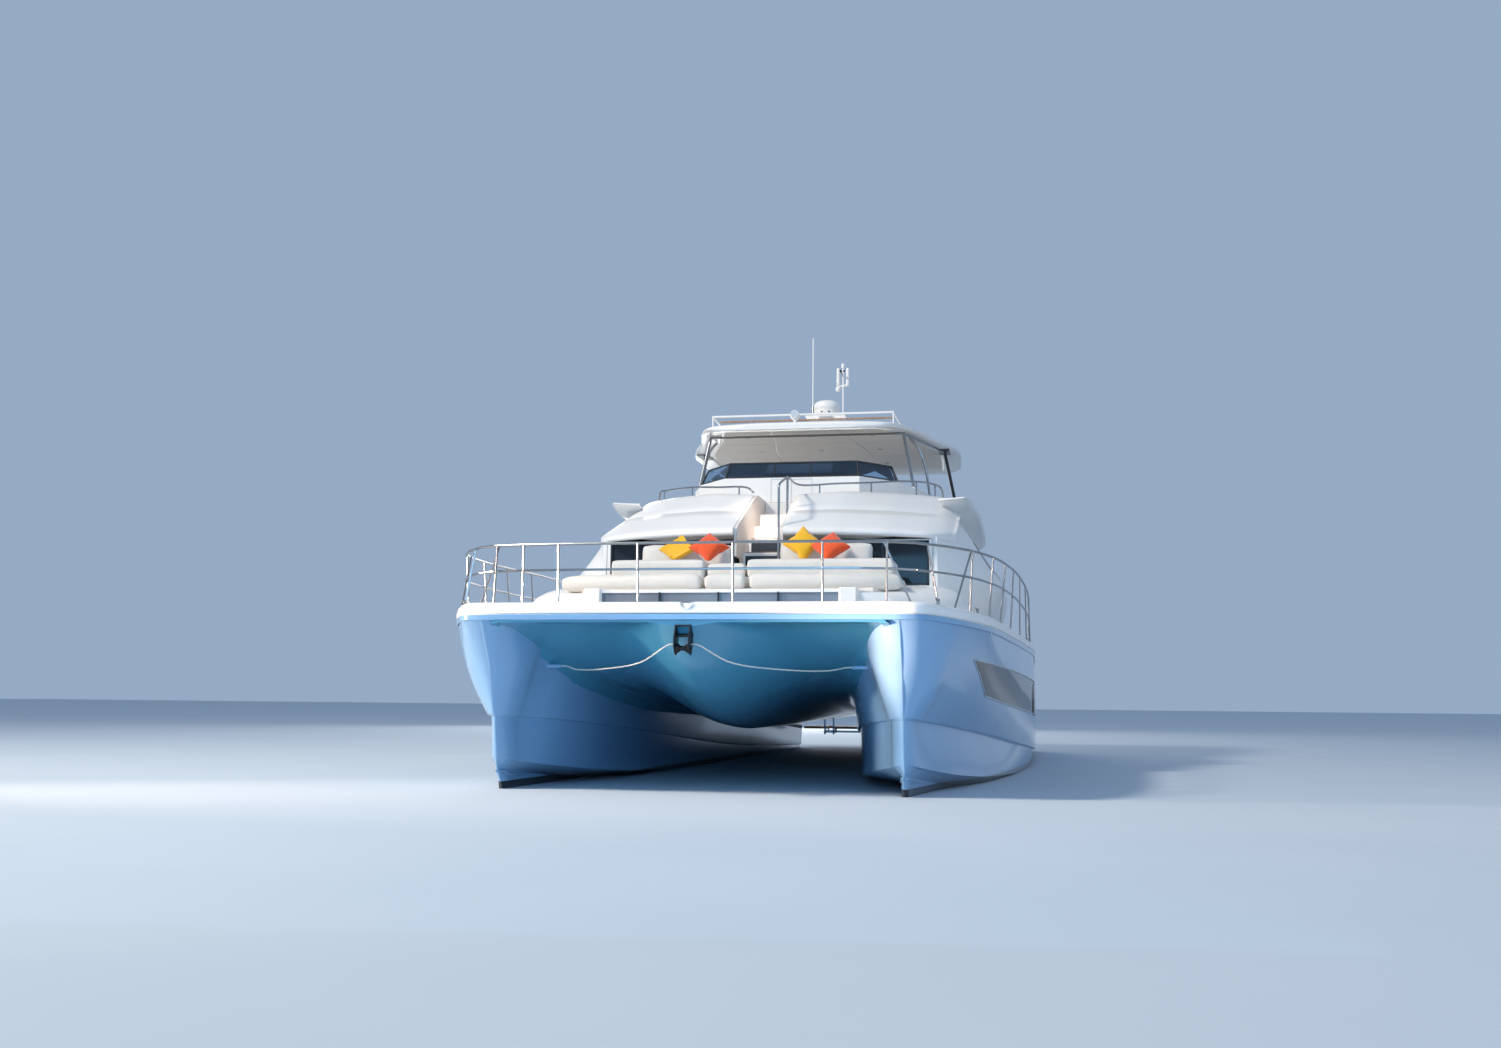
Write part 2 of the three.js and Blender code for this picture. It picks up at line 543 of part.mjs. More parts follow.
// Brows: the two sloping panels ahead of the flybridge. Columns: x, lower y, lower z, upper y, upper z.
const BROW = [
  [352, -4050, 3370, -2460, 4070],
  [1000, -3960, 3368, -2150, 4150],
  [1700, -3760, 3362, -1550, 4190],
  [2300, -3430, 3350, -800, 4240],
  [2500, -3150, 3350, -600, 4225],
  [2640, -2700, 3400, -400, 4120],
];
const BROW_LEDGE = 160;
function makeBrow() {
  const skin = loft(BROW.map(([x, y0, z0, y1, z1]) => [
    [x, y0, 3000], [x, y0, z0], [x, (y0 + y1) / 2, (z0 + z1) / 2 + 25], [x, y1, z1],
    [x, y1 + BROW_LEDGE, z1], [x, y1 + BROW_LEDGE + 1, 3100], [x, (y0 + y1) / 2, 3050], [x, y0 + 10, 2990],
  ]));
  const below = sideSlab([[-4500, BROW_UNDER.lipZ], [BROW_UNDER.lipY, BROW_UNDER.lipZ],
    [BROW_UNDER.topY, BROW_UNDER.topZ], [600, BROW_UNDER.topZ], [600, 2500], [-4500, 2500]], 0, 3000);
  const floorOutline = bothSides(FLY_OUTLINE.map(([x, y]) => [x + 1, y - 1]));
  const floor = slab(floorOutline, SALOON.roof - GAP, FLY.floor + GAP);
  const wing = loft([
    [[2400, -1500, 3900], [2400, -1500, 3960], [2400, -300, 3960], [2400, -300, 3900]],
    [[2860, -1560, 4080], [2855, -1560, 4120], [2895, 250, 4110], [2895, 250, 4062]],
  ]);
  return cut(join(skin, wing), below, floor);
}
addPair('brow', makeBrow(), 'gelcoat');

// Stair from the lounge up to the flybridge, between the brows, with a hand rail on its port side
const STAIR_RAIL_X = STAIR.half - 18;
const STAIR_RAIL = [[-3960, 3980], [-3200, 4220], [-2400, 4170]];
function stepAt(y) {
  const run = (STAIR.back - STAIR.front) / STAIR.steps;
  return LOUNGE.top + ((FLY.floor - LOUNGE.top) / STAIR.steps) * (Math.floor((y - STAIR.front) / run) + 1);
}

function makeStair() {
  const rise = (FLY.floor - LOUNGE.top) / STAIR.steps;
  const run = (STAIR.back - STAIR.front) / STAIR.steps;
  const outline = [[STAIR.front, LOUNGE.top + GAP]];
  for (let k = 0; k < STAIR.steps; k += 1) {
    outline.push([STAIR.front + run * k, LOUNGE.top + rise * (k + 1)]);
    outline.push([STAIR.front + run * (k + 1), LOUNGE.top + rise * (k + 1)]);
  }
  outline.push([STAIR.back, 3400], [SALOON.front, LOUNGE.top + GAP]);
  const flight = sideSlab(outline, -STAIR.half, STAIR.half);
  const railPoints = STAIR_RAIL.map(([y, z]) => [STAIR_RAIL_X, y, z]);
  const rails = railPoints.slice(1).map((point, k) => bar(railPoints[k], point, 17));
  const posts = railPoints.map(([x, y, z]) => bar([x, y, z], [x, y, stepAt(y) - 20], 17));
  return join(flight, ...rails, ...posts);
}
add('stair', makeStair(), 'gelcoat');

// Flybridge coaming and the low wraparound windscreen on its front, as paths in plan
const COAMING = { low: FLY.floor + GAP, high: 4560, thick: 90 };
const COAMING_HALF = [[1090, -1040], [1640, -380], [1860, 300], [2080, 1400], [2260, 2800], [2300, 5100]];
const SCREEN = { thick: 14, high: 4830 };
const SCREEN_LOW = [[1075, -1000], [1600, -370], [1640, -300]];
const SCREEN_TOP = [[1035, -850], [1500, -270], [1530, -210]];

const coamingPath = mirrorPath(COAMING_HALF);
add('fly_coaming', cut(leaningBand(coamingPath, coamingPath, COAMING.low, COAMING.high, COAMING.thick),
  box(1300, 3000, -700, 6000, 4600, 5000)), 'gelcoat');
add('fly_windscreen', leaningBand(mirrorPath(SCREEN_LOW), mirrorPath(SCREEN_TOP),
  COAMING.high + GAP, SCREEN.high, SCREEN.thick), 'glass');

// Hardtop, a thin crowned roof. Columns: y, half width, height of the underside.
const ROOF = [
  [-480, 1000, 5450], [-330, 1450, 5480], [300, 1760, 5540], [1460, 2040, 5600],
  [3370, 2540, 5600], [4600, 2500, 5560], [5100, 2250, 5540],
];
const ROOF_THICK = 100;
function makeHardtop() {
  return loft(ROOF.map(([y, half, z]) => {
    const right = [[half - 60, z], [half, z + 40], [half - 30, z + ROOF_THICK - 20],
      [half * 0.6, z + ROOF_THICK + 20]];
    return right.map(([x, h]) => [x, y, h]).concat(right.slice().reverse().map(([x, h]) => [-x, y, h]));
  }));
}
const hardtop = makeHardtop();

// The spaces below the roof's upper skin and above its underside, for cutting what stands on or under it
function roofSpace(profile) {
  return loft(ROOF.map(([y, half, z]) => {
    const right = profile(half, z);
    return right.map(([x, h]) => [x, y, h]).concat(right.slice().reverse().map(([x, h]) => [-x, y, h]));
  }));
}
const belowSkin = roofSpace((half, z) => [[half, 4000], [half, z + 40 + GAP],
  [half - 30, z + ROOF_THICK - 20 + GAP], [half * 0.6, z + ROOF_THICK + 20 + GAP]]);
const aboveUnderside = roofSpace((half, z) => [[half - 60, z - GAP], [half, z + 40 - GAP], [half + 10, 7000],
  [half * 0.5, 7000]]);
const LIGHT = { x: -90, y: -100, z: 5770, half: 80, radius: 62 };
const searchlight = join(
  bar([LIGHT.x, LIGHT.y - LIGHT.half, LIGHT.z], [LIGHT.x, LIGHT.y + LIGHT.half, LIGHT.z], LIGHT.radius, 14),
  bar([LIGHT.x, LIGHT.y, 5560], [LIGHT.x, LIGHT.y, LIGHT.z], 25, 10));
add('hardtop', join(hardtop, searchlight), 'gelcoat');

// The frame that carries the hardtop. Its front posts stand on the coaming and its rear posts, outside the
// coaming, on the floor; tubes under the roof join them.
const FRAME = {
  frontFoot: [1850, 420], frontHead: [1670, 560], rearFoot: [2560, 3450], rearHead: [2260, 2820],
  head: 5700, tube: 24, frontPost: 30, rearPost: 38,
};
function makeFrame() {
  const post = (foot, head, low, radius) => cut(bar([...foot, low - 100], [...head, FRAME.head], radius, 10),
    box(-4000, 4000, -2000, 6000, low - 400, low + GAP));
  const underside = (y) => atY(ROOF, y, 2) - 14;
  const [headX, headY] = FRAME.frontHead;
  const side = join(
    post(FRAME.frontFoot, FRAME.frontHead, COAMING.high, FRAME.frontPost),
    post(FRAME.rearFoot, FRAME.rearHead, FLY.floor, FRAME.rearPost),
    bar([headX, headY, underside(headY)], [...FRAME.rearHead, underside(FRAME.rearHead[1])], FRAME.tube));
  const cross = bar([-headX, headY, underside(headY)], [headX, headY, underside(headY)], FRAME.tube);
  return cut(join(side, mirrorX(side), cross), aboveUnderside);
}
add('hardtop_frame', makeFrame(), 'steel');

// Tubular rack on the hardtop
const RACK = {
  high: 5815, front: 100, middle: 1200, back: 2700, half: 1540, bulge: 40, radius: 18, foot: 14,
};
function makeRack() {
  const { high, front, middle, back, half, bulge, radius } = RACK;
  const corners = [[half, back], [half + bulge, middle], [half, front]];
  const feet = corners.map(([x, y]) => bar([x, y, high], [x, y, 5500], RACK.foot));
  const sides = corners.slice(1).map(([x, y], k) => bar([...corners[k], high], [x, y, high], radius));
  const side = join(...sides, ...feet);
  const across = [front, back].map((y) => bar([-half - 10, y, high], [half + 10, y, high], radius));
  return cut(join(side, mirrorX(side), ...across), belowSkin);
}
add('roof_rack', makeRack(), 'steel');

// Mast on the hardtop with the radar dome, the whip and the instrument pole
const MAST = { y: 3300, platform: 6420, half: 380, whipX: -270, poleX: 315 };
const mastFoot = cut(box(-130, 130, MAST.y - 90, MAST.y + 90, 5500, MAST.platform - 30), belowSkin);
const mastTop = box(-MAST.half, MAST.half, MAST.y - 260, MAST.y + 200, MAST.platform - 31, MAST.platform);
const whip = bar([MAST.whipX, MAST.y, MAST.platform - 10], [MAST.whipX, MAST.y + 40, 7990], 12, 6);
const pole = join(bar([MAST.poleX, MAST.y, MAST.platform - 10], [MAST.poleX, MAST.y, 7370], 16, 6),
  bar([MAST.poleX - 130, MAST.y, 7000], [MAST.poleX + 130, MAST.y, 7060], 10, 6),
  bar([MAST.poleX, MAST.y, 7200], [MAST.poleX, MAST.y - 200, 7230], 8, 6));
add('radar_mast', join(mastFoot, mastTop, whip, pole), 'gelcoat');
const domeProfile = [[0, 0], [235, 0], [250, 40], [250, 190], [225, 260], [150, 300], [0, 315]];
const domeShape = new THREE.LatheGeometry(domeProfile.map(([r, z]) => new THREE.Vector2(r, z)), 16);
domeShape.rotateX(Math.PI / 2);
add('radar_dome', solid(domeShape).translate([0, MAST.y, MAST.platform + GAP]), 'gelcoat');

// Helm on the flybridge: console, wheel and bench, with a sofa behind
const HELM = { x: 60, hubZ: 4680, consoleBack: -260, wheelR: 190 };
const consoleShape = sideSlab([[-820, FLY.floor + GAP], [HELM.consoleBack, FLY.floor + GAP],
  [HELM.consoleBack, 4780], [-420, 4880], [-760, 4640]], -480, 600);
const hubBore = bar([HELM.x, -400, HELM.hubZ], [HELM.x, -200, HELM.hubZ], 18.95, 12);
add('helm_console', cut(consoleShape, hubBore), 'gelcoat');
function makeWheel() {
  const y = HELM.consoleBack + 70;
  const z = HELM.hubZ;
  const rim = new THREE.TorusGeometry(HELM.wheelR, 14, 8, 24);
  rim.rotateX(Math.PI / 2);
  const spokes = [0, 1, 2].map((k) => (k * 2 * Math.PI) / 3).map((turn) => bar([HELM.x, y, z],
    [HELM.x + HELM.wheelR * Math.sin(turn), y, z + HELM.wheelR * Math.cos(turn)], 9, 6));
  const hub = bar([HELM.x, HELM.consoleBack - 60, z], [HELM.x, y + 12, z], 18, 12);
  return join(solid(rim).translate([HELM.x, y, z]), hub, ...spokes);
}
add('helm_wheel', makeWheel(), 'black');
const HELM_SEAT = [
  [450, FLY.floor + GAP], [1000, FLY.floor + GAP], [1120, 5000], [1030, 5020], [920, 4560], [450, 4560],
];
add('helm_seat', sideSlab(HELM_SEAT, -600, 720), 'cushion');
const SOFA = { half: 2080, inner: 1350, front: 2500, turn: 4200, back: 4900, seat: 4500, top: 4900 };
const sofaSide = box(SOFA.inner, SOFA.half, SOFA.front, SOFA.back, FLY.floor + GAP, SOFA.seat);
const sofaAcross = box(-SOFA.half, SOFA.half, SOFA.turn, SOFA.back, FLY.floor + GAP, SOFA.seat);
const sofaRest = box(-SOFA.half, SOFA.half, SOFA.back - 80, SOFA.back + 40, FLY.floor + 40, SOFA.top);
add('fly_sofa', join(sofaSide, sofaAcross, sofaRest), 'cushion');

// Cockpit sofa across the stern
const COCKPIT_SOFA = [[6150, 1600], [6900, 1600], [6980, 2620], [6860, 2640], [6780, 2180], [6150, 2180]];
add('cockpit_sofa', onDeck(sideSlab(COCKPIT_SOFA, -1700, 1700)), 'cushion');

// Hatch over the anchor locker in the foredeck, hinged on its after edge
const HATCH = { x: 450, front: -7900, back: -7150, thick: 45 };
const lidTop = sheerAt(HATCH.front) + DECK_THICK + HATCH.thick;
add('locker_lid', onDeck(box(-HATCH.x, HATCH.x, HATCH.front, HATCH.back, 1850, lidTop)), 'gelcoat');

// Anchor roller under the middle of the bow
const ROLLER = { half: 90, front: -8520, back: -8290, low: 1480 };
function makeRoller() {
  const body = box(-ROLLER.half, ROLLER.half, ROLLER.front, ROLLER.back, ROLLER.low, 1826);
  const inside = ROLLER.half - 14;
  const slot = box(-inside, inside, ROLLER.front - 10, ROLLER.back - 14, ROLLER.low - 10, 1790);
  const cheekCut = sideSlab([[ROLLER.front - 10, 1400], [-8380, 1400], [ROLLER.front - 10, 1660]], -200, 200);
  const wheel = bar([-ROLLER.half + 2, -8400, 1560], [ROLLER.half - 2, -8400, 1560], 38, 12);
  return cut(join(cut(body, slot, cheekCut), wheel), makeBridge().translate([0, 0, -GAP]));
}
add('anchor_roller', makeRoller(), 'steel');

// Mooring bridle: one light line on each side, from the roller to the eye inside the hull's nose
const BRIDLE = { radius: 8, steps: 48 };
const BRIDLE_ROUTE = [
  [ROLLER.half + GAP, -8410, 1600],
  [ROLLER.half + 60, -8410, 1600],
  [480, -8280, 1420],
  [1000, -7940, 1350],
  [1450, -7540, 1350],
  [BOW_EYE[0] - 60, BOW_EYE[1], BOW_EYE[2]],
  [BOW_EYE[0] - GAP, BOW_EYE[1], BOW_EYE[2]],
];
addPair('bridle', tube(BRIDLE_ROUTE, BRIDLE.radius, BRIDLE.steps, 8), 'rope');

// Shafts with four-bladed propellers, and rudders behind them
function makePropeller() {
  const shaft = bar([SHAFT.x, 5420, SHAFT.z], [SHAFT.x, 6440, SHAFT.z], SHAFT.radius, 16);
  const hub = bar([SHAFT.x, 6260, SHAFT.z], [SHAFT.x, 6430, SHAFT.z], 55, 16);
  const blade = new THREE.BoxGeometry(150, 14, SHAFT.propeller - 50);
  blade.translate(0, 0, (SHAFT.propeller - 50) / 2 + 44);
  const blades = [0, 1, 2, 3].map((k) => solid(blade.clone().rotateZ(0.6).rotateY((k * Math.PI) / 2))
    .translate([SHAFT.x, SHAFT.y, SHAFT.z]));
  return join(shaft, hub, ...blades);
}
addPair('propeller', makePropeller(), 'bronze');

function makeRudder() {
  const blade = sideSlab([[RUDDER.y - 190, -480], [RUDDER.y + 300, -480], [RUDDER.y + 240, -1100],
    [RUDDER.y - 130, -1100]], RUDDER.x - 22, RUDDER.x + 22);
  return join(blade, bar([RUDDER.x, RUDDER.y, -900], [RUDDER.x, RUDDER.y, -200], RUDDER.stock, 16));
}
addPair('rudder', makeRudder(), 'bronze');

// Swim platform on two arms, which lower it and keep it level
function makeArms() {
  const { pivotY, pivotZ, arm, armX } = PLATFORM;
  const side = (x) => join(bar([x - 130, pivotY, pivotZ], [x + 130, pivotY, pivotZ], 25, 16),
    box(x - 60, x + 60, pivotY - 30, pivotY + arm + 30, pivotZ - 30, pivotZ + 30),
    bar([x - 100, pivotY + arm, pivotZ], [x + 100, pivotY + arm, pivotZ], 20, 16));
  const tie = bar([-armX, pivotY, pivotZ], [armX, pivotY, pivotZ], 22, 10);
  return join(side(armX), side(-armX), tie);
}
add('platform_arms', makeArms(), 'steel');

function makePlatform() {
  const { pivotY, pivotZ, arm, top, thick, half, front, back, armX } = PLATFORM;
  const slot = (x) => join(box(x - 120, x + 120, 7700, 7895, 0, 900),
    box(x - 66, x + 66, 7700, 8228, 0, 900));
  const board = cut(box(-half, half, front, back, top - thick, top), slot(armX), slot(-armX));
  const lug = sideSlab([[pivotY + arm - 50, pivotZ - 40], [pivotY + arm + 50, pivotZ - 40],
    [pivotY + arm + 50, top - 20], [pivotY + arm - 50, top - 20]], 70, 98);
  const bore = bar([0, pivotY + arm, pivotZ], [1000, pivotY + arm, pivotZ], 21, 16);
  const lugs = [armX, -armX].flatMap((x) => [lug.translate([x, 0, 0]), mirrorX(lug).translate([x, 0, 0])]);
  return cut(join(board, ...lugs), bore, mirrorX(bore));
}
add('swim_platform', makePlatform(), 'gelcoat');

// Guard rails in three sections, on stanchions that stand on the bulwark. Columns: x, y, z of the top rail.
const BOW_RAIL = [[0, -8400, 2690], [1400, -8380, 2690], [2150, -8280, 2690], [2440, -8080, 2695]];
const SIDE_RAIL = [
  [2450, -8060, 2696], [2900, -7350, 2705], [3230, -5900, 2750], [3410, -4200, 2800],
  [3560, -2000, 2850], [3700, 500, 2800], [3740, 2600, 2640], [3745, 3900, 2300],
];
const SIDE_POSTS = [-7900, -7000, -5900, -4700, -3400, -2000, -500, 1000, 2400, 3860];
const RAIL = { radius: 15, post: 13, midShare: 0.45 };

function railAt(route, x, y) {
  const path = new THREE.CatmullRomCurve3(route.map((p) => new THREE.Vector3(...p)), false, 'centripetal');
  let best = path.getPoint(0);
  for (let k = 0; k <= 400; k += 1) {
    const point = path.getPoint(k / 400);
    const away = Math.hypot(point.x - x, point.y - y);
    if (away < Math.hypot(best.x - x, best.y - y)) best = point;
  }
  return best;
}

function stanchion(route, x, y) {
  const head = railAt(route, x, y);
  const rim = sheerAt(head.y) + BULWARK_HIGH;
  const edge = atY(DECK_EDGE, head.y, GUNWALE);
  const footX = Math.abs(head.x) < 2200 ? head.x : Math.sign(head.x) * (edge - 70);
  const footY = Math.abs(head.x) < 2200 ? -8340 : head.y;
  return bar([footX, footY, rim + 2], [head.x, head.y, head.z], RAIL.post, 6);
}

function lowered(route, share) {
  return route.map(([x, y, z]) => [x, y, z - share * (z - sheerAt(y) - BULWARK_HIGH)]);
}

const frontRoute = [...BOW_RAIL.slice(1).reverse().map(([x, y, z]) => [-x, y, z]), ...BOW_RAIL];
const frontPosts = [-2190, -1830, -1415, -530, 530, 1480, 2190].map((x) => stanchion(frontRoute, x, -8380));
add('bow_rail', join(tube(frontRoute, RAIL.radius, 16, 8),
  tube(lowered(frontRoute, RAIL.midShare), RAIL.post, 16, 6), ...frontPosts), 'steel');
const sideRailPlan = SIDE_RAIL.map(([x, y]) => [y, x]);
const sidePosts = SIDE_POSTS.map((y) => stanchion(SIDE_RAIL, atY(sideRailPlan, y, 1), y));
addPair('side_rail', join(tube(SIDE_RAIL, RAIL.radius, 24, 8),
  tube(lowered(SIDE_RAIL, RAIL.midShare), RAIL.post, 24, 6), ...sidePosts), 'steel');

export default boat;
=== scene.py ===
# %% [markdown]
# # A power catamaran, afloat
#
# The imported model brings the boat's solids, its joints and its measures. This notebook dresses them: it
# draws the hulls, the deck, the cushions and the rails again with finer shapes, and gives each surface a
# finish. Everything is in metres. +Z is up, z = 0 is the waterline, the bow faces -Y and port is +X.

import math
import random

import bmesh
import bpy
from mathutils import Matrix, Vector


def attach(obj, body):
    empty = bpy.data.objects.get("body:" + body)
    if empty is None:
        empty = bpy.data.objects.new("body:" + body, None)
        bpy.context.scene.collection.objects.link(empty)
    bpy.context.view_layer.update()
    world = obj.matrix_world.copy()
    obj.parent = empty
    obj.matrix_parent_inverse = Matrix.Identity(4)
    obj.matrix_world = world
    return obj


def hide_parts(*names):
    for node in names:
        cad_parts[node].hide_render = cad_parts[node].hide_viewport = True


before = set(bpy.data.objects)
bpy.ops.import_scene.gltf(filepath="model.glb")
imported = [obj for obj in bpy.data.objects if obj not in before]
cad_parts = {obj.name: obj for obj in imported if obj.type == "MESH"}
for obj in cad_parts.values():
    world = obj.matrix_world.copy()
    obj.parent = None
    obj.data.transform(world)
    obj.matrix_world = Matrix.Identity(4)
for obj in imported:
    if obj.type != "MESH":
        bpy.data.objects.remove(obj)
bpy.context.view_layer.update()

# %% [markdown]
# ## Camera
#
# The photograph was taken from a low boat ahead of the bow, a little to port. Its horizon lies below the
# middle of the picture, so the camera tilts up by seven degrees. The focal length is given in pixels of
# the frame and turned into millimetres on a sensor 36 mm wide.

# %% Camera
PHOTO_WIDTH = 1501
FOCAL_PIXELS = 1400.27
SENSOR = 36.0
EYE = Vector((3.4249, -22.9288, 1.0300))
YAW, PITCH, ROLL = -0.18443, 0.12452, 0.00945


def make_camera():
    forward = Vector((math.sin(YAW) * math.cos(PITCH), math.cos(YAW) * math.cos(PITCH), math.sin(PITCH)))
    level = Vector((math.cos(YAW), -math.sin(YAW), 0))
    upward = level.cross(forward)
    right = level * math.cos(ROLL) + upward * math.sin(ROLL)
    top = -level * math.sin(ROLL) + upward * math.cos(ROLL)
    data = bpy.data.cameras.new("camera")
    data.sensor_width = SENSOR
    data.lens = FOCAL_PIXELS / PHOTO_WIDTH * SENSOR
    data.clip_end = 300
    camera = bpy.data.objects.new("camera", data)
    turn = Matrix((right, top, -forward)).transposed()
    camera.matrix_world = Matrix.Translation(EYE) @ turn.to_4x4()
    bpy.context.scene.collection.objects.link(camera)
    bpy.context.scene.camera = camera
    return data.lens


print("the lens is", round(make_camera(), 2), "mm")

# %% [markdown]
# ## Curves and tables
#
# Most pieces of a boat are lofts: a row of cross-sections joined by a skin. The tables give few stations,
# so a smooth curve that never overshoots is drawn through each column before the skin is made. Pipes and
# ropes follow a curve through a few points, and the centripetal kind keeps its bends gentle.

# %% Smooth tables and curves
MM = 0.001


def slopes_of(xs, ys):
    steps = [(b - a) / (d - c) for a, b, c, d in zip(ys, ys[1:], xs, xs[1:])]
    slopes = [steps[0]]
    for before, after in zip(steps, steps[1:]):
        slopes.append(0.0 if before * after <= 0 else 2 * before * after / (before + after))
    return slopes + [steps[-1]]


def along_table(table, place, column):
    """The value of a column at a place in the first column, on a smooth curve through the rows."""
    xs = [row[0] for row in table]
    ys = [row[column] for row in table]
    if place <= xs[0]:
        return ys[0]
    if place >= xs[-1]:
        return ys[-1]
    slopes = slopes_of(xs, ys)
    i = max(k for k, x in enumerate(xs) if x <= place)
    width = xs[i + 1] - xs[i]
    t = (place - xs[i]) / width
    return (
        (2 * t**3 - 3 * t**2 + 1) * ys[i]
        + (t**3 - 2 * t**2 + t) * width * slopes[i]
        + (3 * t**2 - 2 * t**3) * ys[i + 1]
        + (t**3 - t**2) * width * slopes[i + 1]
    )


def smooth_rows(table, count):
    """The table again with count rows, evenly spread over its first column."""
    first, last = table[0][0], table[-1][0]
    places = [first + (last - first) * k / (count - 1) for k in range(count)]
    return [[place] + [along_table(table, place, c) for c in range(1, len(table[0]))] for place in places]


def curve_through(points, steps):
    """Evenly numbered points on a centripetal Catmull-Rom curve through the given ones."""
    pts = [Vector(p) for p in points]
    pts = [2 * pts[0] - pts[1]] + pts + [2 * pts[-1] - pts[-2]]
    knots = [0.0]
    for a, b in zip(pts, pts[1:]):
        knots.append(knots[-1] + max((b - a).length, 1e-6) ** 0.5)
    made = []
    spans = len(pts) - 3
    for s in range(steps + 1):
        place = s / steps * spans
        i = min(int(place), spans - 1) + 1
        t0, t1, t2, t3 = knots[i - 1 : i + 3]
        p0, p1, p2, p3 = pts[i - 1 : i + 3]
        t = t1 + (place - i + 1) * (t2 - t1)
        a1 = p0.lerp(p1, (t - t0) / (t1 - t0))
        a2 = p1.lerp(p2, (t - t1) / (t2 - t1))
        a3 = p2.lerp(p3, (t - t2) / (t3 - t2))
        b1 = a1.lerp(a2, (t - t0) / (t2 - t0))
        b2 = a2.lerp(a3, (t - t1) / (t3 - t1))
        made.append(b1.lerp(b2, (t - t1) / (t2 - t1)))
    return made


print("half way along a bend:", curve_through([(0, 0, 0), (1, 1, 0), (2, 0, 0)], 4)[1][:2])

# %% [markdown]
# ## Meshes
#
# A piece is made from points and faces, shaded smooth, and kept sharp where two faces meet at a marked
# angle. A bevel modifier then rounds those sharp edges, because no moulded edge on a boat is a knife edge
# and the round catches the light.

# %% Mesh helpers
SIDES = (("port", 1), ("starboard", -1))


def new_object(name, points, faces, finish):
    mesh = bpy.data.meshes.new(name)
    mesh.from_pydata([tuple(p) for p in points], [], faces)
    mesh.materials.append(finish)
    obj = bpy.data.objects.new(name, mesh)
    bpy.context.scene.collection.objects.link(obj)
    return obj


def piece(name, points, faces, finish, body="boat", stands_for=(), sharp=30, bevel=0.0, segments=2):
    """A rigid piece on a body, in place of the solids it stands for."""
    obj = new_object(name, points, faces, finish)
    obj.data.validate()
    work = bmesh.new()
    work.from_mesh(obj.data)
    bmesh.ops.recalc_face_normals(work, faces=work.faces)
    work.to_mesh(obj.data)
    work.free()
    obj.data.shade_smooth()
    obj.data.set_sharp_from_angle(angle=math.radians(sharp))
    if bevel:
        soften(obj, bevel, segments)
    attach(obj, body)
    if stands_for:
        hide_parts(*stands_for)
    return obj


def soften(obj, width, segments=2, angle=30):
    rounding = obj.modifiers.new("rounded edges", "BEVEL")
    rounding.width = width
    rounding.segments = segments
    rounding.limit_method = "ANGLE"
    rounding.angle_limit = math.radians(angle)
    rounding.harden_normals = True
    return obj


def loft(rings, closed=True):
    """Points and faces of a skin over rings of equal length; closed adds the two end faces."""
    count = len(rings[0])
    points = [Vector(p) for ring in rings for p in ring]
    faces = []
    for i in range(len(rings) - 1):
        for j in range(count):
            k = (j + 1) % count
            faces.append((i * count + j, i * count + k, (i + 1) * count + k, (i + 1) * count + j))
    if closed:
        faces.append(tuple(range(count)))
        faces.append(tuple(range((len(rings) - 1) * count, len(rings) * count)))
    return points, faces


def merged(*shapes):
    points, faces = [], []
    for some_points, some_faces in shapes:
        start = len(points)
        points += list(some_points)
        faces += [tuple(start + v for v in face) for face in some_faces]
    return points, faces


def flipped(points):
    return [Vector((-p[0], p[1], p[2])) for p in points]


def mirrored(shape):
    return flipped(shape[0]), [tuple(reversed(face)) for face in shape[1]]


def middle_of(points):
    return sum(points, Vector()) / len(points)


def block(x0, x1, y0, y1, z0, z1):
    ring = [(x0, y0), (x1, y0), (x1, y1), (x0, y1)]
    return loft([[(x, y, z) for x, y in ring] for z in (z0, z1)])


def circle(count):
    """Cosine and sine of evenly spread turns."""
    turns = [2 * math.pi * k / count for k in range(count)]
    return [(math.cos(t), math.sin(t)) for t in turns]


def heading(path, i):
    """The way from the point before to the point after."""
    return path[min(i + 1, len(path) - 1)] - path[max(i - 1, 0)]


def frames(path):
    """Each point with two directions across the path, which turn as little as they can."""
    made = []
    across = None
    for i, p in enumerate(path):
        along = heading(path, i).normalized()
        if across is None:
            across = along.orthogonal().normalized()
        across = (across - along * across.dot(along)).normalized()
        made.append((p, across, along.cross(across)))
    return made


def pipe(points, radius, sides=10):
    """A round tube along the points; its radius may be a function of the share of the way."""
    rings = []
    for i, (p, across, other) in enumerate(frames([Vector(p) for p in points])):
        size = radius(i / (len(points) - 1)) if callable(radius) else radius
        rings.append([p + (across * c + other * s) * size for c, s in circle(sides)])
    return loft(rings)


def turned(profile, place, sides=24, axis="Z"):
    """A turned part: rings of (radius, height) stacked on its axis."""
    rings = []
    for radius, height in profile:
        ring = [[radius * c, radius * s] for c, s in circle(sides)]
        for p in ring:
            p.insert("XYZ".index(axis), height)
        rings.append([Vector(place) + Vector(p) for p in ring])
    return loft(rings)


def pair(name, shape, finish, stands_for=(), **settings):
    """A piece on the port side and its mirror image to starboard."""
    made = []
    for side, geometry in (("port", shape), ("starboard", mirrored(shape))):
        nodes = [f"{node}_{side}" for node in stands_for]
        made.append(piece(f"{name}_{side}", *geometry, finish, stands_for=nodes, **settings))
    return made


print("a test pipe has", len(pipe([(0, 0, 0), (0, 0, 1)], 0.1)[1]), "faces")

# %% [markdown]
# ## Shared effects
#
# Real gelcoat is never one colour: sun, salt and water leave faint clouds and streaks in it. Cloth has a
# weave, teak has planks with dark seams, and polished steel has fine scratches. Each effect is a node
# group, which gives only a colour, a mask or a height, and every material sets its own strength.

